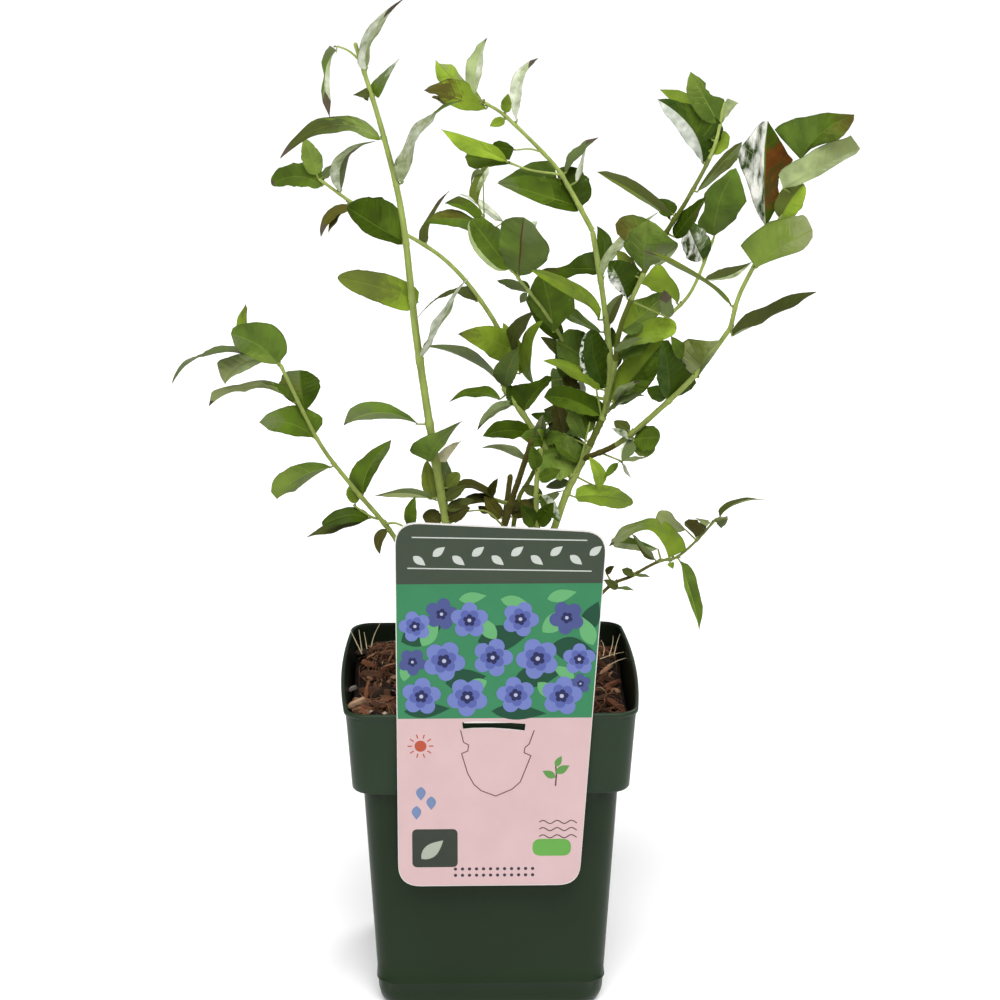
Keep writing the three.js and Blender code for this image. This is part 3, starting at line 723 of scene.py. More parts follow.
        leaf((602, 374), (556, 342), -2, 34, "leaf", behind=6, via=(577, 353), ragged=0.04, dry=0,
             left=[(592, 376), (580, 368), (566, 362), (558, 358), (556, 350)],
             right=[(598, 350), (590, 338), (582, 333), (572, 332), (562, 337)]),
        leaf((568, 356), (541, 337), -6, 13, "dusk", dry=0, behind=6, shape=OVAL, ragged=0.05),
        leaf((592, 348), (572, 330), 13, 14, "green", shape=OVAL, ragged=0.08),
        leaf((600, 389), (543, 361), -6, 14, "lime", behind=1, via=(573, 371), shape=OVAL, fold=5),
        leaf((578, 394), (564, 376), 4, 14, "umber", shape=ROUND),
        leaf((584, 394), (579, 378), 2, 7, "white", shape=OVAL),
        leaf((605, 392), (611, 372), 8, 12, "dark", shape=OVAL),
    ]),
    "leaves_centre_top": ("stem_centre", [
        leaf((518, 279), (524, 217), -16, 52, "dull", via=(521, 247),
             halves=(("dull", "leaf", "dull"), ("dull", "dull", "moss")), fold=3, ragged=0.015, dry=0,
             left=[(512, 272), (505, 262), (501, 250), (499, 240), (499, 230), (501, 223), (506, 219),
                   (514, 217)],
             right=[(527, 275), (534, 271), (542, 266), (549, 256), (551, 247), (548, 239), (542, 231),
                    (534, 222)]),
        leaf((510, 269), (471, 219), 2, 34, "green", via=(488, 242), shape=(0.5, 0.6), rim=("left", "pale"),
             fold=5),
        leaf((488, 226), (424, 222), -2, 18, ("green", "olive", "olive"), via=(456, 219),
             halves=("green", ("green", "brown", "olive")), on="twig_centre",
             left=[(474, 236), (462, 230), (450, 227), (438, 225), (430, 224)],
             right=[(478, 222), (470, 218), (460, 212), (450, 210), (438, 212), (430, 218)]),
        leaf((483, 220), (445, 203), -4, 19, "dark", via=(464, 206), halves=("green", ("green", "dusk")),
             on="twig_centre",
             left=[(476, 219), (468, 213), (459, 209), (451, 206)],
             right=[(481, 212), (474, 204), (468, 199), (460, 197), (452, 200)]),
        leaf((504, 222), (460, 194), 2, 13, "white", via=(484, 207), halves=("white", "white"),
             on="twig_centre",
             left=[(495, 221), (485, 213), (474, 203), (466, 197)],
             right=[(497, 213), (489, 206), (481, 200), (472, 196)]),
        leaf((478, 204), (489, 166), 2, 14, "olive", via=(478, 184),
             halves=("olive", ("olive", "sage", "white")), on="twig_centre",
             left=[(470, 196), (472, 185), (477, 175), (482, 169)],
             right=[(480, 197), (482, 190), (486, 181), (490, 172)]),
        leaf((483, 173), (471, 184), 2, 5, "moss", via=(475, 173), shape=LANCE, on="twig_centre"),
        leaf((522, 234), (538, 221), 8, 10, "white", shape=OVAL, ragged=0.12),
    ]),
    "leaves_centre": ("stem_centre", [
        leaf((527, 295), (497, 281), 8, 10, "moss", via=(513, 285), shape=OVAL, ragged=0.08),
        leaf((528, 291), (520, 303), 6, 8, "moss", shape=LANCE),
        leaf((530, 293), (521, 280), 6, 8, "dark", shape=OVAL),
        leaf((553, 332), (542, 274), -14, 46, "green", via=(549, 304), fold=4, ragged=0.02, dry=0,
             behind=-4,
             left=[(546, 325), (538, 317), (531, 308), (527, 299), (526, 291), (530, 284), (536, 277)],
             right=[(560, 324), (567, 316), (573, 307), (573, 297), (567, 288), (558, 280), (549, 275)]),
        leaf((532, 383), (543, 320), -12, 14, "lime", via=(530, 350), shape=OVAL, skew=0.6),
    ]),
    "leaves_round_right": ("bough_mid_right", [
        leaf((644, 274), (649, 220), -14, 56, "leaf", via=(645, 247),
             halves=(("leaf", "light"), ("moss", "moss", "leaf", "light")), fold=4, behind=1, dry=0,
             left=[(639, 267), (634, 258), (628, 251), (621, 243), (627, 236), (633, 229), (641, 223)],
             right=[(652, 265), (660, 260), (668, 252), (678, 247), (678, 241), (670, 235), (662, 228),
                    (655, 223)]),
        leaf((652, 262), (678, 246), 8, 16, "pale", shape=OVAL),
        leaf((656, 236), (617, 234), 6, 27, ("leaf", "olive", "brown"), via=(637, 228), ragged=0.03, dry=0,
             left=[(645, 246), (630, 248), (620, 242)],
             right=[(652, 226), (643, 218), (634, 216), (626, 218), (620, 224)]),
        leaf((627, 299), (609, 261), -12, 31, "deep", via=(620, 281),
             halves=(("speckle", "glint", "speckle", "deep"), ("deep", "dark", "deep")), fold=6,
             left=[(621, 293), (613, 286), (607, 278), (606, 270)],
             right=[(633, 289), (639, 279), (639, 270), (634, 263), (627, 259), (618, 259)]),
        leaf((634, 275), (617, 250), 9, 15, "olive", shape=OVAL),
    ]),
    "leaves_mid_right": ("bough_mid_right", [
        leaf((622, 334), (668, 292), 9, 36, "lime", via=(644, 314),
             halves=(("lime", "leaf"), ("leaf", "light", "moss")), ragged=0.03, dry=0,
             left=[(621, 324), (623, 315), (627, 306), (635, 300), (645, 295), (655, 292)],
             right=[(630, 335), (640, 332), (650, 325), (660, 314), (668, 303)]),
        leaf((619, 347), (676, 328), -6, 25, ("light", "lime", "sun"), via=(650, 332), shape=(0.7, 0.42),
             ragged=0.05),
        leaf((669, 318), (664, 290), 4, 14, "moss", shape=OVAL, dry=0.5, ragged=0.16),
    ]),
    "leaves_low_fold": ("bough_mid_right", [
        leaf((613, 402), (664, 342), -12, 35, "dark", shape=(0.5, 0.45), fold=14,
             halves=("lime", ("leaf", "dark", "leaf"))),
        leaf((612, 372), (622, 348), 6, 9, "dark", shape=OVAL),
        leaf((614, 350), (640, 338), -8, 9, "moss", shape=LANCE, behind=-4),
    ]),
    "leaves_far_tip": ("bough_top_right", [
        leaf((720, 126), (691, 72), -10, 38, "light", via=(705, 99),
             halves=(("leaf", "light"), ("leaf", "leaf", "light")), fold=5, behind=1, dry=0, ragged=0.02,
             left=[(712, 124), (704, 120), (698, 115), (693, 108), (690, 101), (687, 94), (686, 87),
                   (688, 78)],
             right=[(724, 108), (726, 99), (718, 95), (710, 94), (709, 90), (705, 87), (706, 82), (700, 77),
                    (696, 75)]),
        leaf((720, 124), (738, 103), 6, 14, "pale", via=(728, 111), fold=4, ragged=0.03,
             left=[(722, 115), (724, 105), (727, 99), (733, 101)],
             right=[(723, 121), (729, 115), (734, 108)]),
    ]),
    "leaves_far_fold": ("bough_top_right", [
        leaf((700, 109), (660, 90), 8, 14, "lime", via=(680, 98), shape=LANCE, dry=0.08),
        leaf((703, 163), (659, 100), -10, 38, "deep", via=(691, 128), fold=12,
             halves=("frost", ("gloss", "green", "gloss")), behind=3, dry=0,
             left=[(697, 158), (691, 152), (682, 141), (676, 132), (668, 120), (662, 112), (660, 105)],
             right=[(710, 152), (716, 138), (714, 122), (704, 110), (692, 104), (680, 102), (668, 99)]),
        leaf((711, 158), (725, 131), 6, 21, "lime", shape=ROUND),
        leaf((712, 140), (708, 115), 9, 16, "dark", shape=OVAL),
    ]),
    "leaves_far_low": ("bough_top_right", [
        leaf((697, 192), (742, 142), 2, 20, "moss", dry=0, behind=-3,
             halves=("dusk", ("moss", "dusk", "moss")), via=(719, 167),
             left=[(700, 186), (707, 176), (716, 164), (725, 153), (735, 145)],
             right=[(707, 187), (720, 177), (731, 168), (738, 160), (742, 150)]),
        leaf((673, 221), (597, 172), 10, 16, "dusk", via=(637, 194), dry=0.03,
             halves=(("moss", "olive"), "dusk"),
             left=[(660, 213), (648, 205), (635, 198), (622, 190), (610, 182), (602, 176)],
             right=[(670, 213), (662, 203), (650, 193), (635, 183), (620, 175), (606, 171)]),
        leaf((678, 219), (657, 199), 6, 19, "dark", shape=(0.4, 0.9)),
        leaf((674, 237), (706, 197), -12, 17, "dark", shape=OVAL, ragged=0.06,
             halves=("deep", ("deep", "dusk"))),
    ]),
    "leaves_back_right": ("bough_back_right", [
        leaf((715, 238), (736, 168), -14, 45, "leaf", via=(720, 202),
             halves=("leaf", ("dull", "leaf", "leaf")), fold=5, ragged=0.02, dry=0,
             left=[(707, 231), (699, 224), (700, 216), (706, 208), (707, 199), (704, 194), (712, 184),
                   (722, 177), (730, 170)],
             right=[(724, 231), (737, 219), (743, 207), (749, 197), (746, 185), (741, 174)]),
        leaf((703, 262), (687, 224), -10, 29, "deep", shape=(0.45, 0.6), fold=12,
             halves=("glint", ("gloss", "silver", "gloss")), ragged=0.06),
        leaf((705, 280), (752, 262), 10, 12, "dark", via=(729, 276), shape=LANCE, halves=("dusk", "sage")),
        leaf((678, 303), (641, 284), -10, 31, "lime", via=(662, 284), fold=4, dry=0, ragged=0.02,
             left=[(670, 297), (660, 294), (650, 291)],
             right=[(679, 295), (676, 285), (670, 275), (662, 265), (653, 274)]),
    ]),
    "leaves_side_spread": ("bough_side_high", [
        leaf((733, 308), (642, 251), -10, 10, "olive", via=(695, 274), dry=0.14, halves=("moss", "olive"),
             left=[(722, 299), (710, 288), (698, 280), (685, 273), (672, 267), (658, 259)],
             right=[(728, 299), (718, 289), (705, 280), (692, 271), (680, 264), (668, 257), (655, 253)]),
        leaf((732, 336), (816, 290), 12, 15, "dusk", via=(772, 314), shape=(0.42, 0.8), ragged=0.08),
    ]),
    "leaves_side_broad": ("bough_side_high", [
        leaf((756, 268), (813, 230), -14, 45, "light", behind=-5, via=(782, 247), fold=5,
             halves=(("light", "light", "dusty"), ("light", "dusty")), ragged=0.015, dry=0,
             left=[(749, 257), (746, 243), (752, 237), (762, 229), (772, 221), (790, 218), (803, 216),
                   (807, 220)],
             right=[(765, 264), (776, 260), (788, 256), (798, 253), (806, 250), (812, 244), (815, 237)]),
    ]),
    "leaves_side_tall": ("bough_side_high", [
        # The straight border between the rust and the dark green of its right half paints a shadow's edge.
        leaf((766, 227), (768, 121), -6, 57, "dark", via=(764, 175), fold=10, behind=2, dry=0, ragged=0.02,
             halves=("glint", ("dark", "rust", "umber", "rust", "rust", "dark", "dark")),
             left=[(761, 219), (756, 210), (751, 198), (748, 186), (743, 174), (739, 165), (737, 156),
                   (739, 147), (745, 141), (752, 133), (758, 126), (763, 122)],
             right=[(772, 216), (778, 204), (779, 195), (777, 186), (778, 176), (783, 169), (790, 163),
                    (797, 159), (790, 156), (786, 148), (780, 139), (774, 130)]),
    ]),
    "leaves_side_tip": ("bough_side_high", [
        leaf((801, 160), (853, 115), -22, 60, "green", via=(822, 133),
             halves=(("leaf", "leaf", "green", "brown"), ("dark", "green", "olive", "brown")), fold=6,
             ragged=0.015, dry=0,
             left=[(798, 155), (790, 147), (782, 140), (778, 132), (780, 124), (787, 119), (798, 116),
                   (809, 116), (820, 114), (828, 113), (840, 114)],
             right=[(812, 149), (822, 145), (832, 142), (841, 139), (847, 134), (851, 128), (854, 120)]),
        leaf((783, 188), (860, 148), -4, 30, "pale", behind=-8, via=(822, 167), fold=5,
             halves=(("pale", "dusty"), ("pale", "sage")), ragged=0.015, dry=0,
             left=[(779, 184), (776, 178), (781, 170), (790, 163), (801, 158), (815, 150), (830, 143),
                   (842, 139), (851, 134)],
             right=[(795, 187), (803, 184), (820, 176), (838, 165), (846, 160), (856, 154)]),
        leaf((776, 220), (804, 184), -10, 27, "lime", via=(790, 201), shape=(0.42, 0.5),
             halves=("olive", "sun")),
    ]),
    "leaves_side_low": ("bough_side_low", [
        leaf((698, 378), (720, 340), -14, 50, "olive", via=(706, 357),
             halves=(("dusty", "olive", "dusty"), ("moss", "dusty")), fold=6, ragged=0.02, dry=0,
             left=[(689, 369), (682, 359), (678, 350), (682, 343), (690, 338), (700, 339), (711, 341)],
             right=[(703, 371), (711, 361), (717, 352)]),
        leaf((669, 403), (663, 342), -14, 41, "deep", via=(668, 372), fold=6,
             halves=("gloss", ("dark", "deep")), ragged=0.03, dry=0,
             left=[(663, 396), (659, 387), (656, 376), (656, 363), (658, 352)],
             right=[(680, 395), (690, 385), (696, 377), (688, 366), (680, 357), (674, 349), (669, 341)]),
        leaf((666, 398), (647, 388), 6, 17, "deep", shape=(0.4, 0.8)),
        leaf((684, 357), (671, 336), -8, 14, "green", shape=EGG),
    ]),
    "leaves_side_rosette": ("bough_side_low", [
        leaf((634, 439), (660, 437), -12, 25, "green", shape=ROUND, fold=3),
        leaf((634, 446), (655, 450), -4, 18, "light", shape=ROUND),
        leaf((633, 440), (622, 461), -8, 14, "moss", shape=OVAL, rim=("right", "white")),
        leaf((634, 435), (614, 421), 8, 13, "dusk", shape=OVAL),
        leaf((633, 439), (611, 428), -4, 7, "silver", shape=LANCE),
        leaf((622, 461), (648, 457), -6, 5, "pale", via=(635, 459), shape=LANCE, on="twig_star"),
        leaf((620, 461), (604, 478), -6, 8, "green", shape=LANCE, on="twig_star"),
        leaf((621, 462), (631, 478), -8, 4, "white", via=(625, 470), shape=LANCE, on="twig_star"),
    ]),
    "leaves_low_right": ("shoot_low_right", [
        leaf((719, 517), (766, 500), 4, 7, "dark", via=(738, 502), dry=0.1,
             halves=("dusk", ("moss", "pale")),
             left=[(721, 509), (728, 503), (737, 500), (748, 498), (758, 499)],
             right=[(724, 513), (732, 508), (742, 504), (752, 501)]),
        leaf((713, 521), (728, 519), -8, 12, "dusty", dry=0, halves=("dusty", "moss"), ragged=0.04,
             left=[(718, 518), (724, 517), (728, 516)],
             right=[(718, 525), (723, 529), (727, 523)]),
        leaf((711, 523), (696, 518), -6, 7, "dusty", dry=0,
             left=[(706, 527), (700, 523)],
             right=[(708, 520), (702, 519)]),
        leaf((698, 539), (685, 522), -8, 18, "umber", dry=0, halves=("dusk", "umber"),
             left=[(693, 533), (688, 529), (684, 525)],
             right=[(703, 531), (700, 524), (695, 519), (689, 519)]),
        leaf((699, 537), (703, 521), 3, 10, "dusk", shape=OVAL, dry=0, halves=("dusk", "moss")),
        leaf((686, 530), (659, 512), -9, 20, "light", via=(671, 522), dry=0, halves=("dusty", "dusty"),
             left=[(680, 532), (672, 532), (665, 530), (660, 524), (657, 518)],
             right=[(682, 525), (677, 520), (671, 513), (666, 510), (661, 510)]),
        leaf((672, 561), (610, 546), -12, 20, ("lime", "lime", "light"), via=(652, 528), dry=0.06,
             halves=(("lime", "lime", "light", "dusty"), ("lime", "light", "dusty")),
             left=[(665, 554), (656, 546), (646, 538), (635, 532), (625, 531), (617, 535)],
             right=[(675, 549), (669, 539), (663, 530), (655, 523), (645, 521), (632, 523), (620, 528)]),
        leaf((669, 559), (673, 569), -3, 7, "lime", shape=DART, dry=0),
        leaf((658, 549), (611, 543), 4, 14, "light", via=(634, 544), dry=0,
             halves=(("pale", "sage"), ("leaf", "light", "light")),
             left=[(652, 552), (640, 552), (625, 550), (614, 549)],
             right=[(650, 545), (638, 540), (628, 537), (617, 536), (612, 539)]),
        leaf((657, 561), (632, 534), -8, 10, "dusk", via=(642, 550), dry=0, halves=("umber", "moss"),
             left=[(649, 559), (643, 556), (639, 549), (635, 540)],
             right=[(652, 552), (646, 547), (640, 540), (635, 535)]),
        leaf((680, 561), (700, 630), -10, 16, "lime", via=(691, 594), dry=0.05,
             halves=(("leaf", "green", "leaf"), ("light", "leaf", "lime")),
             left=[(688, 565), (693, 572), (697, 582), (699, 593), (702, 606), (702, 618)],
             right=[(682, 568), (683, 578), (684, 589), (688, 600), (692, 610), (697, 621)]),
    ]),
    "leaves_low_right_foot": ("shoot_low_right", [
        leaf((637, 576), (622, 569), -6, 9, "dusk", dry=0,
             left=[(632, 577), (626, 576), (622, 573)],
             right=[(635, 573), (631, 569), (626, 567)]),
        leaf((634, 577), (650, 577), -6, 4, "moss", shape=LANCE),
        leaf((618, 588), (604, 580), -4, 9, "dusk", shape=OVAL),
        leaf((616, 588), (634, 590), -4, 4, "moss", shape=LANCE),
        leaf((606, 573), (614, 566), -4, 7, "umber", shape=OVAL),
    ]),
    "leaves_low_left_tip": ("shoot_low_left", [
        leaf((256, 350), (246, 304), 5, 13, ("lime", "lime", "olive"), via=(244, 327), fold=5,
             left=[(246, 345), (237, 332), (238, 321), (242, 312)],
             right=[(255, 340), (248, 325), (247, 315), (248, 308)]),
        leaf((281, 366), (231, 334), -10, 42, "leaf", via=(257, 345),
             halves=(("light", "leaf", "moss"), "leaf"), fold=4, ragged=0.015, dry=0,
             left=[(272, 365), (262, 364), (252, 359), (243, 354), (235, 350), (231, 344)],
             right=[(283, 352), (283, 342), (280, 333), (275, 328), (268, 324), (260, 323), (250, 324),
                    (240, 326), (233, 329)]),
        leaf((275, 358), (171, 381), 10, 6, "moss", via=(212, 355), shape=LANCE),
        leaf((270, 359), (224, 384), 8, 22, "dusty", via=(244, 364),
             halves=(("pale", "pale", "dusty"), ("pale", "dusty")), fold=5,
             left=[(261, 364), (252, 369), (240, 375), (231, 379)],
             right=[(256, 356), (242, 355), (229, 356), (221, 360), (217, 368), (219, 377)]),
    ]),
    "leaves_low_left_top": ("shoot_low_left", [
        leaf((298, 403), (207, 405), 10, 10, ("green", "dusty", "dusty", "dusty"), via=(253, 387), dry=0.1,
             left=[(285, 397), (275, 392), (265, 390), (254, 391), (244, 395), (232, 394), (220, 398)],
             right=[(288, 391), (278, 386), (265, 383), (253, 384), (240, 387), (228, 388), (216, 391)]),
        leaf((304, 411), (300, 370), 4, 41, "dark", behind=3, via=(301, 390),
             halves=(("dark", "olive", "moss"), "dark"), fold=4, dry=0,
             left=[(296, 405), (288, 400), (281, 393), (278, 385), (281, 377), (288, 372)],
             right=[(309, 408), (315, 401), (319, 392), (319, 381), (314, 373), (307, 370)]),
    ]),
    "leaves_low_left_mid": ("shoot_low_left", [
        leaf((316, 438), (260, 422), -10, 31, ("green", "green", "moss"), via=(290, 424), fold=4,
             left=[(308, 438), (298, 438), (285, 436), (274, 433), (265, 430)],
             right=[(317, 428), (314, 418), (308, 411), (300, 407), (290, 406), (279, 409), (268, 414)]),
        leaf((331, 467), (276, 499), 10, 22, "light", via=(300, 478),
             halves=(("moss", "moss", "light"), ("leaf", "light", "light")),
             left=[(322, 473), (312, 480), (304, 487), (297, 492), (287, 494)],
             right=[(324, 464), (314, 463), (304, 464), (293, 468), (284, 473), (278, 480), (275, 489)]),
    ]),
    "leaves_low_left_foot": ("shoot_low_left", [
        leaf((363, 497), (391, 440), -10, 26, "green", via=(369, 468), halves=("green", ("dark", "dull")),
             left=[(355, 488), (351, 478), (353, 468), (357, 460), (366, 454), (373, 447), (382, 443)],
             right=[(367, 491), (373, 480), (378, 469), (385, 457), (391, 447)]),
        leaf((355, 509), (349, 486), 6, 13, "lime", shape=OVAL, on="twig_low_left"),
        leaf((372, 517), (322, 525), -4, 16, "dark", via=(347, 516), shape=(0.42, 0.42), on="twig_low_left"),
        leaf((372, 519), (306, 536), 6, 11, "dusk", via=(340, 527), shape=LANCE, on="twig_low_left"),
        leaf((387, 527), (380, 554), -6, 11, "umber", via=(379, 539), shape=OVAL, on="twig_low_left"),
        leaf((413, 528), (415, 497), -4, 13, "green", via=(411, 512), shape=OVAL),
    ]),
    "leaves_heart_left": ("stem_old", [
        leaf((494, 498), (449, 494), -8, 10, "umber", via=(470, 486), shape=OVAL, ragged=0.06),
        leaf((493, 500), (460, 506), -4, 11, "umber", via=(475, 499), shape=OVAL),
        leaf((501, 518), (484, 496), -6, 15, "brown", shape=OVAL),
        leaf((489, 498), (498, 478), -6, 9, "umber", shape=LANCE),
        leaf((492, 514), (478, 506), 6, 8, "umber", shape=OVAL, on="twig_heart"),
        leaf((508, 512), (518, 500), 6, 15, "umber", shape=OVAL),
        leaf((512, 517), (533, 505), 8, 14, "umber", shape=OVAL, ragged=0.08),
    ]),
    "leaves_heart_right": ("stem_main", [
        leaf((575, 497), (633, 503), 12, 25, "leaf", via=(604, 497),
             halves=(("sun", "light"), ("lime", "light")), dry=0,
             left=[(576, 490), (585, 485), (600, 486), (613, 489), (624, 494), (631, 499)],
             right=[(576, 502), (586, 503), (598, 508), (612, 510), (624, 509), (631, 506)]),
        leaf((599, 488), (589, 457), -6, 14, "sun", via=(598, 472), shape=OVAL),
    ]),
    "leaves_heart": ("shoot_green", [
        leaf((541, 472), (532, 446), -8, 15, "green", shape=OVAL),
        leaf((539, 480), (560, 470), -8, 14, "green", shape=OVAL),
        leaf((541, 502), (560, 493), 6, 9, "moss", shape=OVAL),
        leaf((542, 496), (522, 486), 8, 12, "dusk", shape=OVAL),
        leaf((541, 495), (560, 522), -6, 14, "dark", shape=OVAL, halves=("silver", "dark"), ragged=0.06),
        leaf((540, 528), (553, 503), -8, 17, "dark", shape=OVAL),
        leaf((539, 528), (521, 505), -8, 17, "dark", shape=OVAL),
        leaf((539, 512), (520, 500), 8, 13, "umber", shape=OVAL),
    ]),
}

# ---- leaf finishes -----------------------------------------------------------

# drift is the colour it turns to in blotches, whose size is in mm; stretch
# draws them out along x, y or z, and span is how softly they fade
Tone = namedtuple("Tone", "color drift roughness blotch stretch span", defaults=(16, (1, 1, 1), 0.2))

LEAF_TONES = {
    "sun": Tone((176, 206, 62), (152, 184, 62), 0.5),
    "lime": Tone((145, 171, 49), (122, 147, 46), 0.48),
    "light": Tone((130, 154, 62), (117, 138, 62), 0.48),
    "leaf": Tone((107, 136, 48), (94, 117, 46), 0.46, 12),
    "green": Tone((95, 122, 29), (84, 105, 34), 0.48, 12),
    "dark": Tone((70, 93, 10), (60, 80, 14), 0.46, 10),
    "deep": Tone((50, 72, 4), (64, 90, 14), 0.42, 6),
    "olive": Tone((118, 132, 44), (108, 120, 56), 0.48),
    "moss": Tone((104, 122, 66), (120, 130, 88), 0.5, 9),
    "dusk": Tone((80, 90, 34), (96, 102, 56), 0.5, 9),
    "dull": Tone((102, 122, 54), (94, 112, 58), 0.52),
    "drab": Tone((98, 114, 50), (90, 104, 56), 0.52, 10),
    "dusty": Tone((150, 164, 96), (164, 172, 124), 0.52),
    "brown": Tone((92, 88, 26), (108, 104, 48), 0.5, 7),
    "umber": Tone((68, 64, 20), (82, 84, 34), 0.48, 7),
    "rust": Tone((122, 70, 24), (98, 62, 24), 0.4, 9),
    # The next five tones paint sheen and highlights into the colour: pale streaks, patches and specks over dark green,
    # and a white highlight.
    "silver": Tone((208, 214, 192), (112, 130, 88), 0.34, 3, (1, 1, 1), 0.12),
    "gloss": Tone((46, 72, 10), (84, 108, 44), 0.36, 3.5),
    "glint": Tone((246, 246, 236), (62, 84, 28), 0.34, 5, (1.6, 1.6, 0.35), 0.1),
    "frost": Tone((240, 244, 232), (190, 202, 184), 0.34, 4),
    "speckle": Tone((240, 244, 232), (52, 76, 18), 0.34, 2.2, (1, 1, 1), 0.06),
}
# Pale undersides. The small blotches of sage and white, towards a darker drift, also paint light catching on the veins.
UNDER_TONES = {  # for leaves that turn their underside to the camera
    "pale": Tone((180, 196, 134), (158, 174, 118), 0.55, 7),
    "sage": Tone((204, 214, 168), (150, 168, 104), 0.55, 4),
    "white": Tone((244, 248, 226), (190, 204, 160), 0.55, 4),
    "bleached": Tone((236, 232, 190), (206, 202, 156), 0.55, 5),
}
ALL_TONES = {**LEAF_TONES, **UNDER_TONES}
LEAF_LOOK = dict(grain=0.5, relief=0.06, mottling=0.17, specular=0.06)
PLAIN_UNDER = (120, 138, 78)
STALK_COLOR = (150, 164, 84)
BUD_COLOR = (112, 112, 48)
DRY_COLOR = (96, 86, 68)
RED_RIB = (96, 58, 34)
MARGIN_SHADE = 0.1
RIB_SHARE = 0.3  # how far a midrib's colour stands from its leaf's, towards the stalk's
VEIN_SHARE = 0.06
DEEP_VEIN_SHARE = 0.3  # for the darkest leaves, whose veins show more
VEIN_DRIFT_SHARE = 0.3


def toward(color, other, share):
    """A colour some share of the way to another."""
    return [c + (o - c) * share for c, o in zip(color, other)]


def leaf_finishes():
    """Each tone's blade, margin, midrib and vein, and those of undersides and dry tips."""
    finishes = {}
    for tone, (color, drift, roughness, blotch, stretch, span) in ALL_TONES.items():
        look = dict(roughness=roughness, blotch=blotch, stretch=stretch, span=span, **LEAF_LOOK)
        finishes[tone] = surface("leaf_" + tone, color, drift=drift, **look)
        dark = [toward(c, (0, 0, 0), MARGIN_SHADE) for c in (color, drift)]
        finishes[tone, "margin"] = surface("leaf_margin_" + tone, dark[0], drift=dark[1], **look)
        rib = RED_RIB if tone == "dull" else toward(color, STALK_COLOR, RIB_SHARE)
        finishes[tone, "rib"] = surface("leaf_rib_" + tone, rib, **look)
        vein = toward(color, STALK_COLOR, DEEP_VEIN_SHARE if tone == "deep" else VEIN_SHARE)
        vein_drift = toward(drift, vein, VEIN_DRIFT_SHARE)
        finishes[tone, "vein"] = surface("leaf_vein_" + tone, vein, drift=vein_drift, **look)
    look = dict(mottling=0.12, blotch=7, grain=0.4, relief=0.04)
    finishes["under"] = surface("leaf_under", PLAIN_UNDER, 0.5, **look)
    finishes["under_rib"] = surface("leaf_under_rib", STALK_COLOR, 0.45, **look)
    finishes["dry"] = surface("leaf_dry", DRY_COLOR, 0.6, **look)
    return finishes


# ---- leaf shape --------------------------------------------------------------

VEINS = 8
VEIN_HALF = 0.007  # half a vein's width, as a share of the leaf's length
END_ROWS = (0.0, 0.018, 0.05)  # extra rows that round both ends
LEAF_COLUMNS = (-1, -0.93, -0.72, -0.46, -0.22, -0.035, 0.035, 0.22, 0.46, 0.72, 0.93, 1)
MIDDLE_STRIP = 5
LEAF_THICKNESS = 0.3
LEAF_STALK = 1.7  # from the limb's axis to the blade
LEAST_SLENDER = 0.36  # a leaf is at least this share of its length wide
VEIN_SWEEP = 0.16  # how far the veins reach forward, as a share of the length
VEIN_RELIEF = 0.22
VEIN_FULL_WIDTH = 6  # the half-width from which the veins have their full relief
RIB_SINK = 0.16
RIB_SWELL = 0.3
BLUNT = 0.18  # half-width at the blade's two ends
LEAST_ALONG, MOST_ALONG = 0.001, 0.999  # margin points stay clear of both ends

# The ranges from which a leaf's own shape is drawn.
FOLD_DEGREES = (5, 16)
BEND = (-0.02, 0.14)  # rise of the midrib's middle, as a share of its length
TIP_HOOK = (-1.2, 0.5)  # rise of the tip, more for a slender leaf
HOOK_START = 0.75
TWIST = (-0.8, 0.8)  # radians from foot to tip, more for a slender leaf
TWIST_CENTRE = 0.45
CURL = (-0.18, 0.08)  # rise of the margins, as a share of the half-width
WAVE = (0.05, 0.14)
WAVES = (1.2, 2.6)  # waves on a margin
RAGS = ((6, 2, 0), (19, 1.4, 3))  # noise along the margin: pitch, strength and layer
BUCKLE = 0.08

Blade = namedtuple("Blade", "base via tip upper width look shows_under edges", defaults=(None,))


def outline(along, shape):
    """The blade's half-width along its length, as a share of the widest."""
    rise, fall = shape
    crest = rise / (rise + fall)
    return (along / crest) ** rise * ((1 - along) / (1 - crest)) ** fall


def traced_edge(pixels, base, via, tip, upper):
    """One margin as (share of the length, half-width) pairs from foot to tip."""
    run = tip - base
    side = run.normalized().cross(upper)
    bow = (via - (base + tip) / 2).dot(side)
    edge = [(0, 0)]
    for pixel in pixels:
        ray = photo_ray(pixel)
        offset = CAMERA_PLACE + ray * ((base - CAMERA_PLACE).dot(upper) / ray.dot(upper)) - base
        along = min(max(offset.dot(run) / run.length_squared, LEAST_ALONG), MOST_ALONG)
        edge.append((along, abs(offset.dot(side) - bow * 4 * along * (1 - along))))
    return sorted(edge) + [(1, 0)]


def edge_width(edge, along):
    """A traced margin's half-width at a share of the length."""
    for (low, low_width), (high, high_width) in zip(edge, edge[1:]):
        if along <= high:
            return low_width + (high_width - low_width) * (along - low) / max(high - low, 1e-4)
    return 0


def leaf_rows():
    """Each row's place along the midrib, and whether it runs on a vein, a ridge or an end."""
    rows = [(share, "end" if share == 0 else "plain") for share in END_ROWS]
    pitch = (1 - 2 * END_ROWS[-1]) / VEINS
    for vein in range(VEINS):
        place = END_ROWS[-1] + pitch * (vein + 0.35)
        rows += [(place - VEIN_HALF, "vein"), (place + VEIN_HALF, "vein end")]
        rows.append((place + pitch / 2, "ridge"))
    return rows + [(1 - share, kind) for share, kind in reversed(rows[: len(END_ROWS)])]


LEAF_ROWS = leaf_rows()
ROW_LIFT = {"end": 0, "plain": 0, "vein": -1, "vein end": -1, "ridge": 1}


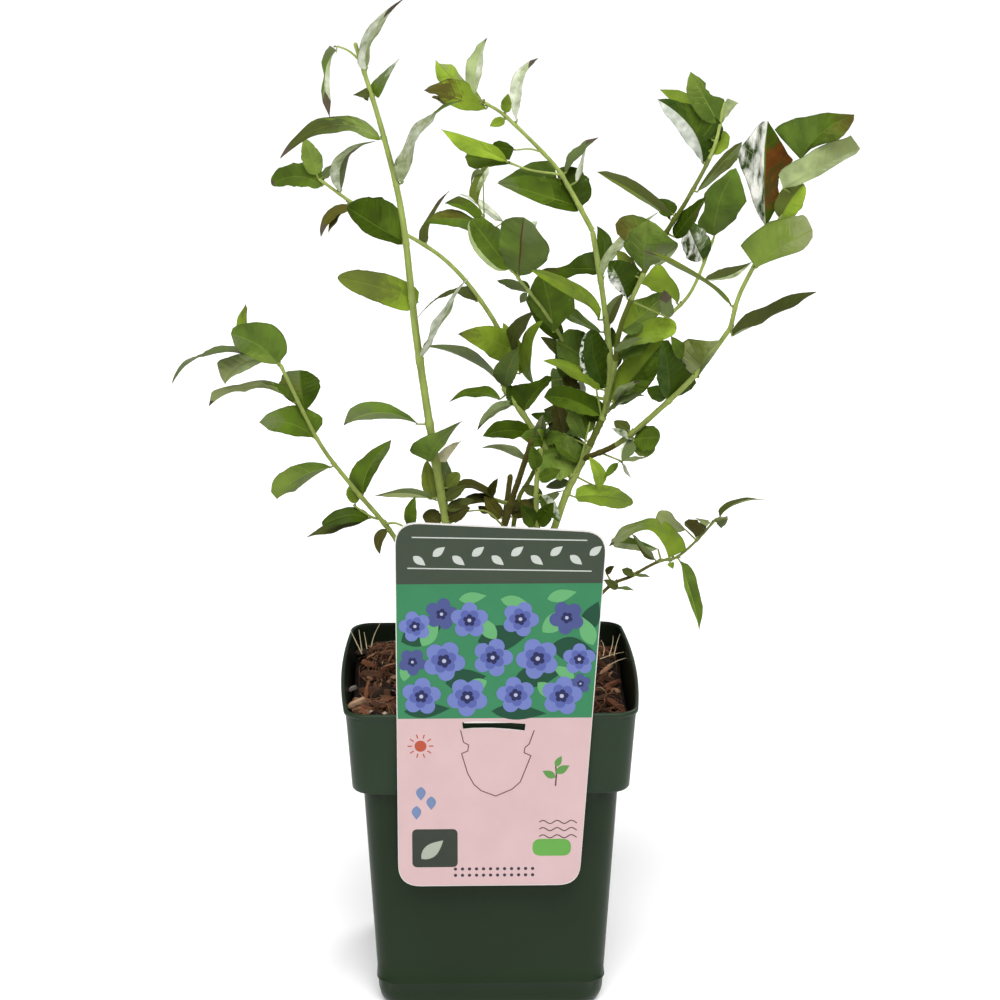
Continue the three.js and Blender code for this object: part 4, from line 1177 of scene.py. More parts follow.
class BladeSurface:
    """The middle layer of one leaf's blade, folded, curled, twisted and waved."""

    def __init__(self, blade, rng):
        self.blade = blade
        look = blade.look
        run = blade.tip - blade.base
        self.length = run.length
        self.knee = blade.via * 2 - (blade.base + blade.tip) / 2  # of the midrib's curve
        slender = 1 - min(1, blade.width / self.length)
        self.fold = math.radians(rng.uniform(*FOLD_DEGREES) if look.fold is None else look.fold)
        self.bend = rng.uniform(*BEND)
        self.hook = rng.uniform(*TIP_HOOK) * slender
        self.twist = rng.uniform(*TWIST) * slender
        self.curl = rng.uniform(*CURL)
        self.wave = rng.uniform(*WAVE)
        self.waves = rng.uniform(*WAVES)
        self.phase = rng.uniform(0, TURN)

    def spine(self, along):
        """A point of the midrib."""
        b, back = self.blade, 1 - along
        place = b.base * back**2 + self.knee * (2 * along * back) + b.tip * along**2
        lift = self.bend * along * back + self.hook * max(0, along - HOOK_START) ** 2
        return place + b.upper * (lift * self.length)

    def frame(self, along):
        """The side and upper directions on the midrib."""
        ahead, behind = self.spine(min(1, along + NUDGE)), self.spine(max(0, along - NUDGE))
        heading = (ahead - behind).normalized()
        upper = (self.blade.upper - heading * self.blade.upper.dot(heading)).normalized()
        side = heading.cross(upper)
        turn = self.twist * (along - TWIST_CENTRE)
        aside = side * math.cos(turn) + upper * math.sin(turn)
        return aside, upper * math.cos(turn) - side * math.sin(turn)

    def point(self, middle, column, relief):
        """A point of the surface, and the direction out of its upper face."""
        look, across = self.blade.look, abs(column)
        along = middle + VEIN_SWEEP * 4 * middle * (1 - middle) * across**1.2
        share = look.skew if column < 0 else 1 - look.skew
        if self.blade.edges:
            half = edge_width(self.blade.edges[column > 0], along) / math.cos(self.fold)
        else:
            half = self.blade.width * share * outline(along, look.shape)
        half = max(BLUNT, half)
        seed = self.phase * (2 if column > 0 else 1)
        for pitch, strength, layer in RAGS:
            half *= 1 + look.ragged * strength * noise.noise(Vector((along * pitch, seed, layer)))
        aside, above = self.frame(along)
        out = across * half
        lift = out * math.sin(self.fold) + half * across**2 * self.curl
        lift += half * across**2 * self.wave * math.sin(self.waves * TURN * along + seed)
        veining = VEIN_RELIEF * min(1, half / VEIN_FULL_WIDTH)
        lift += relief * veining * math.sin(math.pi * across) ** 0.7
        lift += half * BUCKLE * noise.noise(Vector((along * 3, column * 1.5, self.phase)))
        sideways = aside * math.copysign(out * math.cos(self.fold), column)
        return self.spine(along) + sideways + above * lift, above


def add_leaf(build, blade, finishes, rng):
    """A thin closed blade: veined above, ribbed beneath, with a folded middle."""
    body = BladeSurface(blade, rng)
    rib_columns = LEAF_COLUMNS[MIDDLE_STRIP : MIDDLE_STRIP + 2]
    top, beneath = [], []
    for middle, kind in LEAF_ROWS:
        end = kind == "end"
        top_row, beneath_row = [], []
        for column in LEAF_COLUMNS:
            place, above = body.point(middle, column, ROW_LIFT[kind])
            inner = column in rib_columns and not end
            thick = 0 if end else LEAF_THICKNESS / 2 * (1 - abs(column) ** 6)
            top_row.append(place + above * (thick - (RIB_SINK if inner else 0)))
            beneath_row.append(place - above * (thick + (RIB_SWELL * (1 - middle) if inner else 0)))
        top_indexes = build.add(top_row)
        beneath_indexes = top_indexes
        if not end:
            beneath_indexes = [top_indexes[0], *build.add(beneath_row[1:-1]), top_indexes[-1]]
        top.append(top_indexes)
        beneath.append(beneath_indexes)
    paint_leaf(build, top, beneath, blade, finishes)


BLEND_STEPS = 4  # from one tone to the next along a leaf
TONE_WAVER = 0.16  # how far their borders waver, as a share of the length
WAVER_ALONG, WAVER_ACROSS = 9, 0.8  # how fast
RIM_STRIPS = 2  # strips of a margin painted with a highlight


def tone_along(tones, along):
    """The tone at a place of several that follow one another from the leaf's foot
    to its tip: a name, or (name, next name, step) where one turns into the next."""
    if isinstance(tones, str):
        return tones
    place = min(max(along, 0), 0.999) * len(tones) - 0.5
    index = math.floor(place)
    first, second = tones[max(0, index)], tones[min(len(tones) - 1, index + 1)]
    step = round((place - index) * BLEND_STEPS)
    if first == second or step == 0:
        return first
    return second if step == BLEND_STEPS else (first, second, step)


def finish_of(finishes, tone, part=None):
    """A tone's finish, made when it is first asked for if it is a blend."""
    if isinstance(tone, str):
        return finishes[(tone, part) if part else tone]
    first, second, step = tone
    if part:
        return finish_of(finishes, first if step * 2 < BLEND_STEPS else second, part)
    if tone not in finishes:
        a, b = ALL_TONES[first], ALL_TONES[second]
        share = step / BLEND_STEPS
        finishes[tone] = surface(
            f"leaf_{first}_{second}_{step}",
            toward(a.color, b.color, share),
            roughness=a.roughness,
            drift=toward(a.drift, b.drift, share),
            blotch=a.blotch,
            **LEAF_LOOK,
        )
    return finishes[tone]


def leaf_paint(blade, finishes, strip, along, kind):
    """The finish of one face of the side that the camera sees."""
    look = blade.look
    left, right = look.halves or (look.tone, look.tone)
    on_left = strip < MIDDLE_STRIP if not blade.shows_under else strip > MIDDLE_STRIP
    if along > 1 - look.dry:
        return finishes["dry"]
    waver = TONE_WAVER * noise.noise(
        Vector((along * WAVER_ALONG, strip * WAVER_ACROSS, blade.base.x))
    )
    tone = tone_along(left if on_left or strip == MIDDLE_STRIP else right, along + waver)
    edge = min(strip, len(LEAF_COLUMNS) - 2 - strip)
    # a margin painted with a highlight, in the rim's tone
    if look.rim and edge < RIM_STRIPS and on_left == (look.rim[0] == "left"):
        return finishes[look.rim[1]]
    if strip == MIDDLE_STRIP:
        return finish_of(finishes, look.tone if isinstance(look.tone, str) else tone, "rib")
    if edge == 0:
        return finish_of(finishes, tone, "margin")
    return finish_of(finishes, tone, "vein" if kind == "vein" else None)


def paint_leaf(build, top, beneath, blade, finishes):
    """Joins a leaf's rows by faces. The side that the camera sees has the leaf's own tones."""
    far_side = ("green", ("green", "rib")) if blade.shows_under else ("under", "under_rib")
    rows = zip(LEAF_ROWS, top, top[1:], beneath, beneath[1:])
    for (along, kind), upper, next_upper, lower, next_lower in rows:
        for c in range(len(LEAF_COLUMNS) - 1):
            seen = leaf_paint(blade, finishes, c, along, kind)
            other = finishes[far_side[c == MIDDLE_STRIP]]
            above, below = (other, seen) if blade.shows_under else (seen, other)
            build.face([upper[c], upper[c + 1], next_upper[c + 1], next_upper[c]], above)
            build.face([next_lower[c], next_lower[c + 1], lower[c + 1], lower[c]], below)


def facing(base, tip, seen_width, real_width, shows_under):
    """The blade's upper direction, tilted until it shows the traced width."""
    heading = (tip - base).normalized()
    view = (CAMERA_PLACE - (base + tip) / 2).normalized()
    square_on = (view - heading * view.dot(heading)).normalized()
    tilt = math.acos(min(1, seen_width / real_width))
    turned = [Matrix.Rotation(a, 3, heading) @ square_on for a in (tilt, -tilt)]
    if shows_under:
        turned = [-t for t in turned]
    return max(turned, key=lambda t: t.z)


EDGE_TILT = math.radians(16)  # of the leaves whose margins are traced, from square on
TRACE_SLACK = 1.03  # a blade is a little wider than it was traced


def traced_blade(traced, limb):
    """A traced leaf as a blade in space, its root on the limb's axis and that place's share."""
    share = limb.share_at_pixel(traced.base)
    root = limb.at(share)
    depth = root.y + traced.behind
    tip = photo_place(traced.tip, depth + traced.lean)
    base = photo_place(traced.base, depth)
    heading = (tip - base).normalized()
    if (base - root).length < LEAF_STALK:
        base = root + heading * LEAF_STALK
    length = (tip - base).length
    via = (base + tip) / 2
    if traced.via:
        via = photo_place(traced.via, depth + traced.lean / 2)
    seen = traced.width * pixel_size(base)
    flat = math.cos(math.radians(traced.fold or 0))
    real = max(seen / flat * TRACE_SLACK, LEAST_SLENDER * length)
    first_tone = traced.tone if isinstance(traced.tone, str) else traced.tone[0]
    shows_under = first_tone in UNDER_TONES
    if not traced.left:
        upper = facing(base, tip, seen, max(seen, real * flat), shows_under)
        return Blade(base, via, tip, upper, real, traced, shows_under), root, share
    upper = facing(base, tip, seen, seen / math.cos(EDGE_TILT), shows_under)
    edges = [traced_edge(pixels, base, via, tip, upper) for pixels in (traced.left, traced.right)]
    if shows_under:
        edges.reverse()
    return Blade(base, via, tip, upper, seen, traced, shows_under, edges), root, share


STALK_END = 1.2  # how far it runs on beneath the blade
STALK_SINKS = (0.1, 0.25)  # beneath the blade's foot and at its end
STALK_SAG = 0.1
STALK_THICK = 0.55  # the largest radius
STALK_SHARE = 0.8  # of its limb's radius
STALK_TAPER = (1, 0.9, 0.75, 0.4)
BUD_ROOT = (0.85, 0.4)  # limb radii out from the axis, and mm towards the tip
BUD_STEPS = (0, 0.35, 0.8, 1.2)
BUD_RADII = (0.3, 0.42, 0.34, 0.12)


def add_stalk(build, root, blade, material, limb_radius):
    """The short stalk from the limb's axis into the foot of the blade."""
    heading = (blade.tip - blade.base).normalized()
    foot_sink, end_sink = STALK_SINKS
    reach = blade.base + heading * STALK_END - blade.upper * end_sink
    middle = (root + blade.base) / 2 - UP * STALK_SAG
    path = [root, middle, blade.base - blade.upper * foot_sink, reach]
    thick = min(limb_radius * STALK_SHARE, STALK_THICK)
    build.tube(path, [thick * share for share in STALK_TAPER], material)


def add_bud(build, limb, share, blade, material):
    """A small blunt bud in the angle between limb and leaf."""
    heading = limb.heading(share)
    run = blade.tip - blade.base
    out = (run - heading * run.dot(heading)).normalized()
    away, ahead = BUD_ROOT
    root = limb.at(share) + out * limb.radius(share) * away + heading * ahead
    grow = (heading * 2 + out).normalized()
    build.tube([root + grow * step for step in BUD_STEPS], BUD_RADII, material)


# ---- hidden leaves by rule ---------------------------------------------------

FILL_SEED = 11
FILL_SPACING = 4.5  # mm of limb from leaf to leaf
GOLDEN_TURN = math.radians(137.5)
FILL_LENGTH = (20, 33)
FILL_RISE = (0.5, 1.0)  # towards the limb's tip for each mm out from it
FILL_SLENDER = (0.42, 0.62)  # width as a share of the length
FILL_COVER = 0.75  # share of a hidden leaf that traced leaves must cover
FILL_TONES = ("dark", "green", "leaf", "dark", "olive")
FILL_GAP = 4.0  # mm from the leaf in front to a hidden one
SHADOW_HALF = ((0, 0), (0.25, 1), (0.5, 1.1), (0.8, 0.7), (1, 0))  # along and across
SHADOW_CORNERS = SHADOW_HALF + tuple((along, -across) for along, across in SHADOW_HALF[-2:0:-1])
SHADOW_WIDTH = 0.45  # from the midrib, as a share of the blade's width


def leaf_shadow(blade):
    """The pixels of a leaf's outline corners, as the photograph shows them."""
    heading = blade.tip - blade.base
    side = heading.normalized().cross(blade.upper)
    reach = [across * blade.width * SHADOW_WIDTH for _, across in SHADOW_CORNERS]
    return [
        photo_pixel(blade.base + heading * along + side * out)
        for (along, _), out in zip(SHADOW_CORNERS, reach)
    ]


def covers(polygon, pixel):
    """Whether a polygon of the photograph has a pixel inside it."""
    inside = False
    for a, b in zip(polygon, polygon[1:] + polygon[:1]):
        if (a.y > pixel.y) != (b.y > pixel.y):
            if pixel.x < (b.x - a.x) * (pixel.y - a.y) / (b.y - a.y) + a.x:
                inside = not inside
    return inside


def fill_blades(shadows, limbs):
    """Leaves at the golden turn up each limb, kept where others hide them. Each is
    (blade, its root on the limb's axis, limb, share of the limb)."""
    rng = random.Random(FILL_SEED)
    low, high = CAD_BOX[0] / MM, CAD_BOX[1] / MM
    for limb in limbs:
        count = int(limb.length() / FILL_SPACING)
        turn = rng.uniform(0, TURN)
        for i in range(2, count):
            share = i / count
            turn += GOLDEN_TURN
            heading = limb.heading(share)
            aside = heading.orthogonal().normalized()
            out = Matrix.Rotation(turn, 3, heading) @ aside
            reach = (out + heading * rng.uniform(*FILL_RISE)).normalized()
            reach = reach * rng.uniform(*FILL_LENGTH)
            root = limb.at(share)
            base = root + reach.normalized() * LEAF_STALK
            tip = base + reach
            if not (low.y < tip.y < high.y and tip.z < high.z and low.x < tip.x < high.x):
                continue
            upper = (heading + UP * 0.4 - out * 0.3).normalized()
            width = reach.length * rng.uniform(*FILL_SLENDER)
            tone, shape = rng.choice(FILL_TONES), rng.choice((EGG, OVAL, ROUND))
            look = leaf(None, None, 0, 0, tone, shape=shape)
            blade = Blade(base, (base + tip) / 2, tip, upper, width, look, False)
            nearest = min(base.y, tip.y) - FILL_GAP
            in_front = [shadow for depth, shadow in shadows if depth < nearest]
            outline_pixels = leaf_shadow(blade)
            hidden = sum(any(covers(s, p) for s in in_front) for p in outline_pixels)
            if hidden >= FILL_COVER * len(outline_pixels):
                yield blade, root, limb, share


def build_foliage():
    """The traced sprays, the hidden leaves, and every leaf's stalk and bud."""
    finishes = leaf_finishes()
    stalk_green = surface("stalk_green", STALK_COLOR, 0.45, blotch=4, grain=0.3, relief=0.03)
    bud_green = surface("bud_green", BUD_COLOR, 0.5, blotch=1.5, grain=0.3, relief=0.04)
    stalks, buds = Build("leaf_stalks"), Build("buds")

    def grow(build, blade, root, limb, share, rng):
        limb.joints.append(share)
        add_leaf(build, blade, finishes, rng)
        add_stalk(stalks, root, blade, stalk_green, limb.radius(share))
        add_bud(buds, limb, share, blade, bud_green)

    shadows = []
    for node, (limb_name, traced_leaves) in SPRAYS.items():
        rng = random.Random(node)
        build = Build("spray_" + node.removeprefix("leaves_"))
        for traced in traced_leaves:
            limb = TWIGS[traced.on] if traced.on else LIMBS[limb_name]
            blade, root, share = traced_blade(traced, limb)
            shadows.append((max(blade.base.y, blade.tip.y), leaf_shadow(blade)))
            grow(build, blade, root, limb, share, rng)
        build.make("leaves", node)
    hidden = Build("leaves_hidden")
    rng = random.Random(FILL_SEED + 1)
    for filler in fill_blades(shadows, LIMBS.values()):
        grow(hidden, *filler, rng)
    hidden.make("leaves")
    stalks.make("green_stem")
    buds.make("green_stem")


# ---- bark --------------------------------------------------------------------

BARK_SEED = 5
BARK_STEP = 1.0  # mm from ring to ring
BARK_SIDES = 12
LEAST_RINGS = 6
RIDGE = 0.05  # relief, here and below, as a share of the limb's radius
RIDGE_TWIST = 0.03  # radians in a mm
GRAINS = ((0.07, 0.9), (0.06, 2.6))  # strength and pitch of the two noises
KNOT, KNOT_SPREAD, MOST_KNOT = 0.16, 1.3, 0.25
TIP_SHARE = 0.6
BROWN_ROUGHNESS = 2.0  # how much more grain old bark has
BARK_LOOK = dict(stretch=(1, 1, 0.25), blotch=3.5, grain=0.5, relief=0.12, specular=0.06)


def add_limb(build, limb, material, rng, rough=1.0):
    """A limb with lengthwise ridges, fine bark relief and swollen joints."""
    length = limb.length()
    steps = max(LEAST_RINGS, int(length / BARK_STEP))
    shares = [i / steps for i in range(steps + 1)]
    path = [limb.at(s) for s in shares]
    ridges = rng.choice((3, 4, 5))
    lean = rng.uniform(0, TURN)

    def relief(i, angle, place):
        share = shares[i]
        ridge = RIDGE * math.cos(ridges * angle + lean + share * length * RIDGE_TWIST)
        grain = sum(strength * noise.noise(place * pitch) for strength, pitch in GRAINS)
        offsets = [(share - joint) * length / KNOT_SPREAD for joint in limb.joints]
        knot = sum(KNOT * math.exp(-(offset**2)) for offset in offsets)
        return limb.radius(share) * (ridge + grain * rough + min(knot, MOST_KNOT))

    radii = [limb.radius(s) for s in shares]
    radii[-1] *= TIP_SHARE
    build.tube(path, radii, material, sides=BARK_SIDES, relief=relief)


def build_limbs():
    """Each limb's bark, darker where the stretches say, and the twigs in one piece."""
    rng = random.Random(BARK_SEED)
    green = surface(
        "bark_green", (146, 160, 78), 0.48, mottling=0.2, high_color=(182, 200, 110), **BARK_LOOK
    )
    barks = {
        tone: surface("bark_" + tone, color, roughness, mottling, drift=drift, **BARK_LOOK)
        for tone, (color, drift, roughness, mottling) in BARKS.items()
    }
    for name, limb in LIMBS.items():
        build = Build("bark_" + name)
        is_brown = name in BROWN_LIMBS
        bark, rough = (barks["brown"], BROWN_ROUGHNESS) if is_brown else (green, 1)
        add_limb(build, limb, bark, rng, rough)
        rings = limb.length() / BARK_STEP
        for tone, start, end in DARK_STRETCHES.get(name, ()):
            first, last = (int(share * rings) * BARK_SIDES for share in (start, end))
            build.repaint(first, last, barks[tone])
        build.make("brown_stem" if is_brown else "green_stem", name)
    twigs = Build("twigs_green")
    for limb in TWIGS.values():
        add_limb(twigs, limb, green, rng)
    twigs.make("green_stem")


# ---- pot ---------------------------------------------------------------------

POT = dict(
    height=146.0,
    rim_half=64.8,
    collar_depth=38.5,
    collar_foot_half=61.5,
    body_top_half=56.7,
    ridge_height=12.0,
    ridge_half=51.9,
    ridge_step=0.6,
    base_half=47.5,
    wall=1.4,
    floor=1.6,
    corner=10.0,
    side_bow=2.6,
)
CORNER_STEPS = 7
SIDE_STEPS = 12
DRAIN = dict(length=16.0, width=5.0, offset=34.0, bottom=-4, top=6, arc_steps=8)
CAP_SHARES = (0.8, 0.55, 0.3)  # the smaller rings that close the pot's foot and floor
POT_LOOK = dict(roughness=0.4, mottling=0.06, blotch=30, grain=0.6, relief=0.02, specular=0.16)
# The collar's colour is paler, painted light on its sloping face; the inside's colour is painted shade.
POT_COLORS = {"plastic": (32, 49, 27), "collar": (42, 60, 40), "inside": (20, 29, 16)}


def square_ring(half, corner, z, bow=0.0, dish=0.0):
    """A square ring with round corners. bow swells the two sides at +-X, and
    dish draws all four faces in."""
    ring = []
    for turn in range(4):
        spin = Matrix.Rotation(turn * math.pi / 2, 3, "Z")
        centre = Vector((half - corner, half - corner, 0))
        for i in range(CORNER_STEPS + 1):
            angle = i / CORNER_STEPS * math.pi / 2
            ring.append(spin @ (centre + Vector((math.cos(angle), math.sin(angle), 0)) * corner))
        for i in range(1, SIDE_STEPS):
            along = 1 - 2 * i / SIDE_STEPS
            arc = 1 - along**2
            swell = (bow if turn % 2 else 0) * arc - dish * arc
            ring.append(spin @ Vector(((half - corner) * along, half + swell, 0)))
    return [Vector((p.x, p.y, z)) for p in ring]


def pot_rings():
    """The pot's rings from the middle of its foot up the outside, over the rim and
    down the inside. A row is half-width, corner radius, height, bow and dish."""
    c, w, h, bow = POT["corner"], POT["wall"], POT["height"], POT["side_bow"]
    base, top, rim = POT["base_half"], POT["body_top_half"], POT["rim_half"]
    ridge, ridge_half, step = POT["ridge_height"], POT["ridge_half"], POT["ridge_step"]
    collar = POT["collar_foot_half"]
    foot = h - POT["collar_depth"]
    outer = [
        (base - 1.6, c - 1, 0, 0, 0),
        (base - 0.3, c, 0.15, 0, 0),
        (base + 0.9, c, 0.6, 0, 0),
        (base + 2.1, c, 1.6, 0, 0),
        (ridge_half - 1.6, c, 3.6, 0, 0),
        (ridge_half - 0.95, c, 6.5, 0, 0.1),
        (ridge_half - step, c, ridge - 0.6, 0, 0.1),
        (ridge_half - 0.05, c, ridge - 0.1, 0, 0.1),
        (ridge_half, c, ridge + 0.3, 0, 0.1),
        (ridge_half - step * 0.9, c, ridge + 1.1, 0, 0.1),
    ]
    for i in range(1, 12):  # the plain faces of the body
        share = i / 12
        z = ridge + 1.1 + (foot - 0.8 - ridge - 1.1) * share
        half = ridge_half - 0.5 + (top - ridge_half + 0.5) * share
        outer.append((half, c, z, 0, 0.1 + 0.35 * math.sin(math.pi * share)))
    outer += [
        (top, c, foot - 0.3, 0, 0.1),
        (top + 0.5, c, foot + 0.1, 0, 0),
        (collar - 1.1, c, foot, 0, 0),
        (collar - 0.35, c, foot + 0.15, 0, 0),
        (collar, c, foot + 0.8, 0, 0),
    ]
    for i in range(1, 10):  # the collar's faces
        share = i / 10
        half = collar + (rim - 0.9 - collar) * share
        z = foot + 0.8 + (h - 3.6 - foot) * share
        outer.append((half, c, z, bow * share, 0.25 * math.sin(math.pi * share)))
    lip = [
        (rim - 0.85, c, h - 2.7, bow, 0),
        (rim - 0.25, c, h - 2.2, bow, 0),
        (rim, c, h - 1.5, bow, 0),
        (rim, c, h - 0.6, bow, 0),
        (rim - 0.3, c, h - 0.15, bow, 0),
        (rim - 0.8, c, h, bow, 0),
        (rim - w - 0.1, c - w, h - 0.1, bow, 0),
        (rim - w - 0.4, c - w, h - 0.7, bow, 0),
        (rim - w - 0.5, c - w, h - 2.5, bow, 0),
    ]
    inner = []
    for i in range(1, 8):
        share = i / 8
        half = rim - w - 0.5 + (collar - rim + 0.5) * share
        inner.append((half, c - w, h - 2.5 + (foot + 1.4 - h + 2.5) * share, bow * (1 - share), 0))
    inner += [
        (collar - w, c - w, foot + 1.4, 0, 0),
        (top - w, c - w, foot + 1, 0, 0),
        (ridge_half - w, c - w, ridge, 0, 0),
        (base + 0.6, c - w, 3.2, 0, 0),
        (base - 0.8, c - w, 1.8, 0, 0),
        (base - 3.0, c - w - 1, POT["floor"], 0, 0),
    ]
    return [square_ring(*row) for row in outer + lip + inner]


def cut_drains(pot):
    """Cuts the four drain slots through the pot's floor."""
    cutter = Build("drain_cutter")
    blank = surface("drain_cutter", (20, 20, 20))
    for quarter in range(4):
        spin = Matrix.Rotation((quarter + 0.5) * math.pi / 2, 3, "Z")
        rings = []
        for z in (DRAIN["bottom"], DRAIN["top"]):
            ring = []
            for end in (1, -1):
                reach = end * (DRAIN["length"] - DRAIN["width"]) / 2
                middle = Vector((DRAIN["offset"] + reach, 0, z))
                for i in range(DRAIN["arc_steps"] + 1):
                    angle = math.pi * (i / DRAIN["arc_steps"] - 0.5) + (0 if end == 1 else math.pi)
                    out = Vector((math.cos(angle), math.sin(angle), 0)) * DRAIN["width"] / 2
                    ring.append(spin @ (middle + out))
            rings.append(ring)
        cutter.loft(rings, blank)
    tool = cutter.make("pot_plastic")
    cut = pot.modifiers.new("drains", "BOOLEAN")
    cut.object = tool
    cut.operation = "DIFFERENCE"
    depsgraph = bpy.context.evaluated_depsgraph_get()
    mesh = bpy.data.meshes.new_from_object(pot.evaluated_get(depsgraph))
    pot.modifiers.clear()
    pot.data = mesh
    bpy.data.objects.remove(tool)
    mesh.set_sharp_from_angle(angle=math.radians(SHARP_ANGLE))


def build_pot():
    """The pot. Its collar is painted paler than its body, as light on its sloping face, and its inside darker, as
    painted shade.
    """
    plastic, lit_collar, inside = (
        surface("pot_" + part, color, **POT_LOOK) for part, color in POT_COLORS.items()
    )
    build = Build("pot_shell")
    rings = pot_rings()
    indexes = build.loft(rings, plastic, caps=False)
    heights = [ring[0].z for ring in rings]
    collar = next(i for i, z in enumerate(heights) if z > POT["height"] - POT["collar_depth"])
    top = heights.index(max(heights))
    # the collar gets the painted light and the inside the painted shade
    for start, end, material in ((collar, top, lit_collar), (top + 1, len(rings) - 1, inside)):
        build.repaint(start * len(rings[0]), end * len(rings[0]), material)
    for ring, z, turn in ((indexes[0], 0.0, -1), (indexes[-1], POT["floor"], 1)):
        grid_cap(build, ring, z, plastic, turn)
    cut_drains(build.make("pot_plastic", "pot"))


def grid_cap(build, ring, z, material, turn):
    """Closes a ring with smaller rings inside it and a middle point."""
    outer = ring
    for share in CAP_SHARES:
        points = [Vector((build.points[i].x * share, build.points[i].y * share, z)) for i in ring]
        inner = build.add(points)
        for i in range(len(ring)):
            j = (i + 1) % len(ring)
            build.face([outer[i], outer[j], inner[j], inner[i]][::turn], material)
        outer = inner
    hub = build.add([Vector((0, 0, z))])[0]
    for i in range(len(ring)):
        build.face([outer[i], outer[(i + 1) % len(ring)], hub][::turn], material)


# ---- soil --------------------------------------------------------------------

SOIL = dict(level=134.0, wall_gap=0.5, wave=2.2)
HEAPS = [  # centre x, y, half spread and height of the heaps against the walls
    (-46, 30, 17, 9.0),
    (46, 34, 14, 8.0),
    (-50, -40, 15, 4.0),
    (48, -30, 15, 2.0),
    (0, 46, 20, 3.0),
]
STRAWS = [  # loose stalks that rise from the heaps: pixel and y of the foot, then of the tip
    ((362, 654), 22, (350, 629), 38),
    ((362, 651), 28, (359, 630), 46),
    ((367, 649), 32, (364, 632), 47),
    ((371, 648), 34, (381, 622), 50),
    ((600, 659), 24, (625, 652), 34),
    ((607, 667), 18, (631, 657), 26),
    ((603, 656), 28, (601, 640), 44),
    ((609, 656), 28, (613, 636), 46),
    ((614, 656), 28, (620, 634), 48),
]
LONG_CHIPS = [  # chips that show at the front: the pixels of both ends, width in mm and tone
    ((359, 712), (395, 696), 3.6, "red"),
    ((377, 714), (399, 707), 3.0, "brown"),
    ((348, 707), (366, 700), 3.8, "pale"),
    ((352, 711), (362, 708), 3.0, "tan"),
    ((365, 698), (369, 682), 4.6, "orange"),
    ((383, 667), (398, 663), 2.4, "tan"),
    ((349, 690), (357, 687), 2.6, "grey"),
    ((585, 703), (611, 694), 2.8, "brown"),
    ((604, 688), (620, 681), 3.0, "red"),
    ((600, 674), (612, 664), 2.6, "tan"),
]
CHIP_TONES = {
    "dark": (46, 32, 25),
    "brown": (86, 58, 42),
    "red": (118, 74, 52),
    "tan": (148, 108, 80),
    "orange": (150, 98, 66),
    "pale": (184, 150, 120),
    "grey": (132, 126, 116),
}
CHIP_MIX = {"dark": 5, "brown": 5, "red": 3, "tan": 2}  # the tones of the scattered chips
COIR_COLORS = {"brown": (112, 76, 54), "tan": (146, 106, 76), "straw": (206, 188, 150)}
COIR_MIX = (12, 6, 0.3)
CHIPS = 620
CHIP_HALF = (2.0, 5.5)
BIG_CHIP = (0.12, 1.6)  # how many chips are bigger, and by how much
CHIP_SLENDER = (0.28, 0.5)
CHIP_REST = (0.2, 1.6)  # height over the soil
CHIP_CUTS = (-1, -0.6, 0.1, 0.7, 1)  # along a chip, as shares of its half length
FIBRES = 900
FIBRE_HEAPS = (5, 3, 1, 1, 2)  # how many lie on each heap
FIBRES_ON_HEAPS = 0.55
FIBRE_STEPS = 7
CRUMBS = 60
CORNER_CRUMBS = 26  # of them, in the front left corner
CORNER_PLACE = (-49, -50, 3)  # x, y and spread
CRUMB_SIZE = (0.5, 1.5)
CRUMB_CUTS = ((-0.8, 0.4), (-0.3, 1), (0.35, 0.9), (0.85, 0.35))  # height and radius
STRAW_STEPS = 8
FACETS = 6  # sides of a chip and a crumb
SOIL_SEED = 23
SOIL_RINGS = 22
CHIP_TOP = 2.2  # of the chips that lie on the soil


def soil_height(x, y):
    """The soil's level with its waves and heaps."""
    height = SOIL["level"] + SOIL["wave"] * noise.noise(Vector((x, y, 0)) * 0.07)
    for hx, hy, spread, rise in HEAPS:
        height += rise * math.exp(-((x - hx) ** 2 + (y - hy) ** 2) / spread**2)
    return height


def soil_half():
    """Half the soil's width at its level, inside the collar."""
    foot = POT["height"] - POT["collar_depth"]
    slope = (POT["rim_half"] - POT["collar_foot_half"]) / POT["collar_depth"]
    return POT["collar_foot_half"] + slope * (SOIL["level"] - foot) - POT["wall"] - SOIL["wall_gap"]


def build_soil_bed(half):
    """The closed bed of soil, down to the pot's floor, with a rough top."""
    dark = surface("soil_dark", (40, 28, 22), 0.95, mottling=0.5, blotch=4, grain=0.8, relief=0.5)
    bed = Build("soil_bed")
    corner = POT["corner"] - POT["wall"] - SOIL["wall_gap"]
    foot = POT["height"] - POT["collar_depth"]
    rings = [
        square_ring(POT["base_half"] - 1.5, corner, POT["floor"] + 0.6),
        square_ring(POT["body_top_half"] - POT["wall"] - 0.8, corner, foot - 1),
        square_ring(POT["collar_foot_half"] - POT["wall"] - 0.8, corner, foot + 3),
    ]
    for i in range(SOIL_RINGS):
        share = 1 - i / SOIL_RINGS
        ring = square_ring(half * share, corner * share, 0)
        edge_drop = 1.2 if i == 0 else 0
        for p in ring:
            p.z = soil_height(p.x, p.y) + 1.1 * noise.noise(p * 0.35) - edge_drop
        rings.append(ring)
    bed.loft(rings, dark)
    bed.make("bark_soil", "soil", sharp_angle=80)


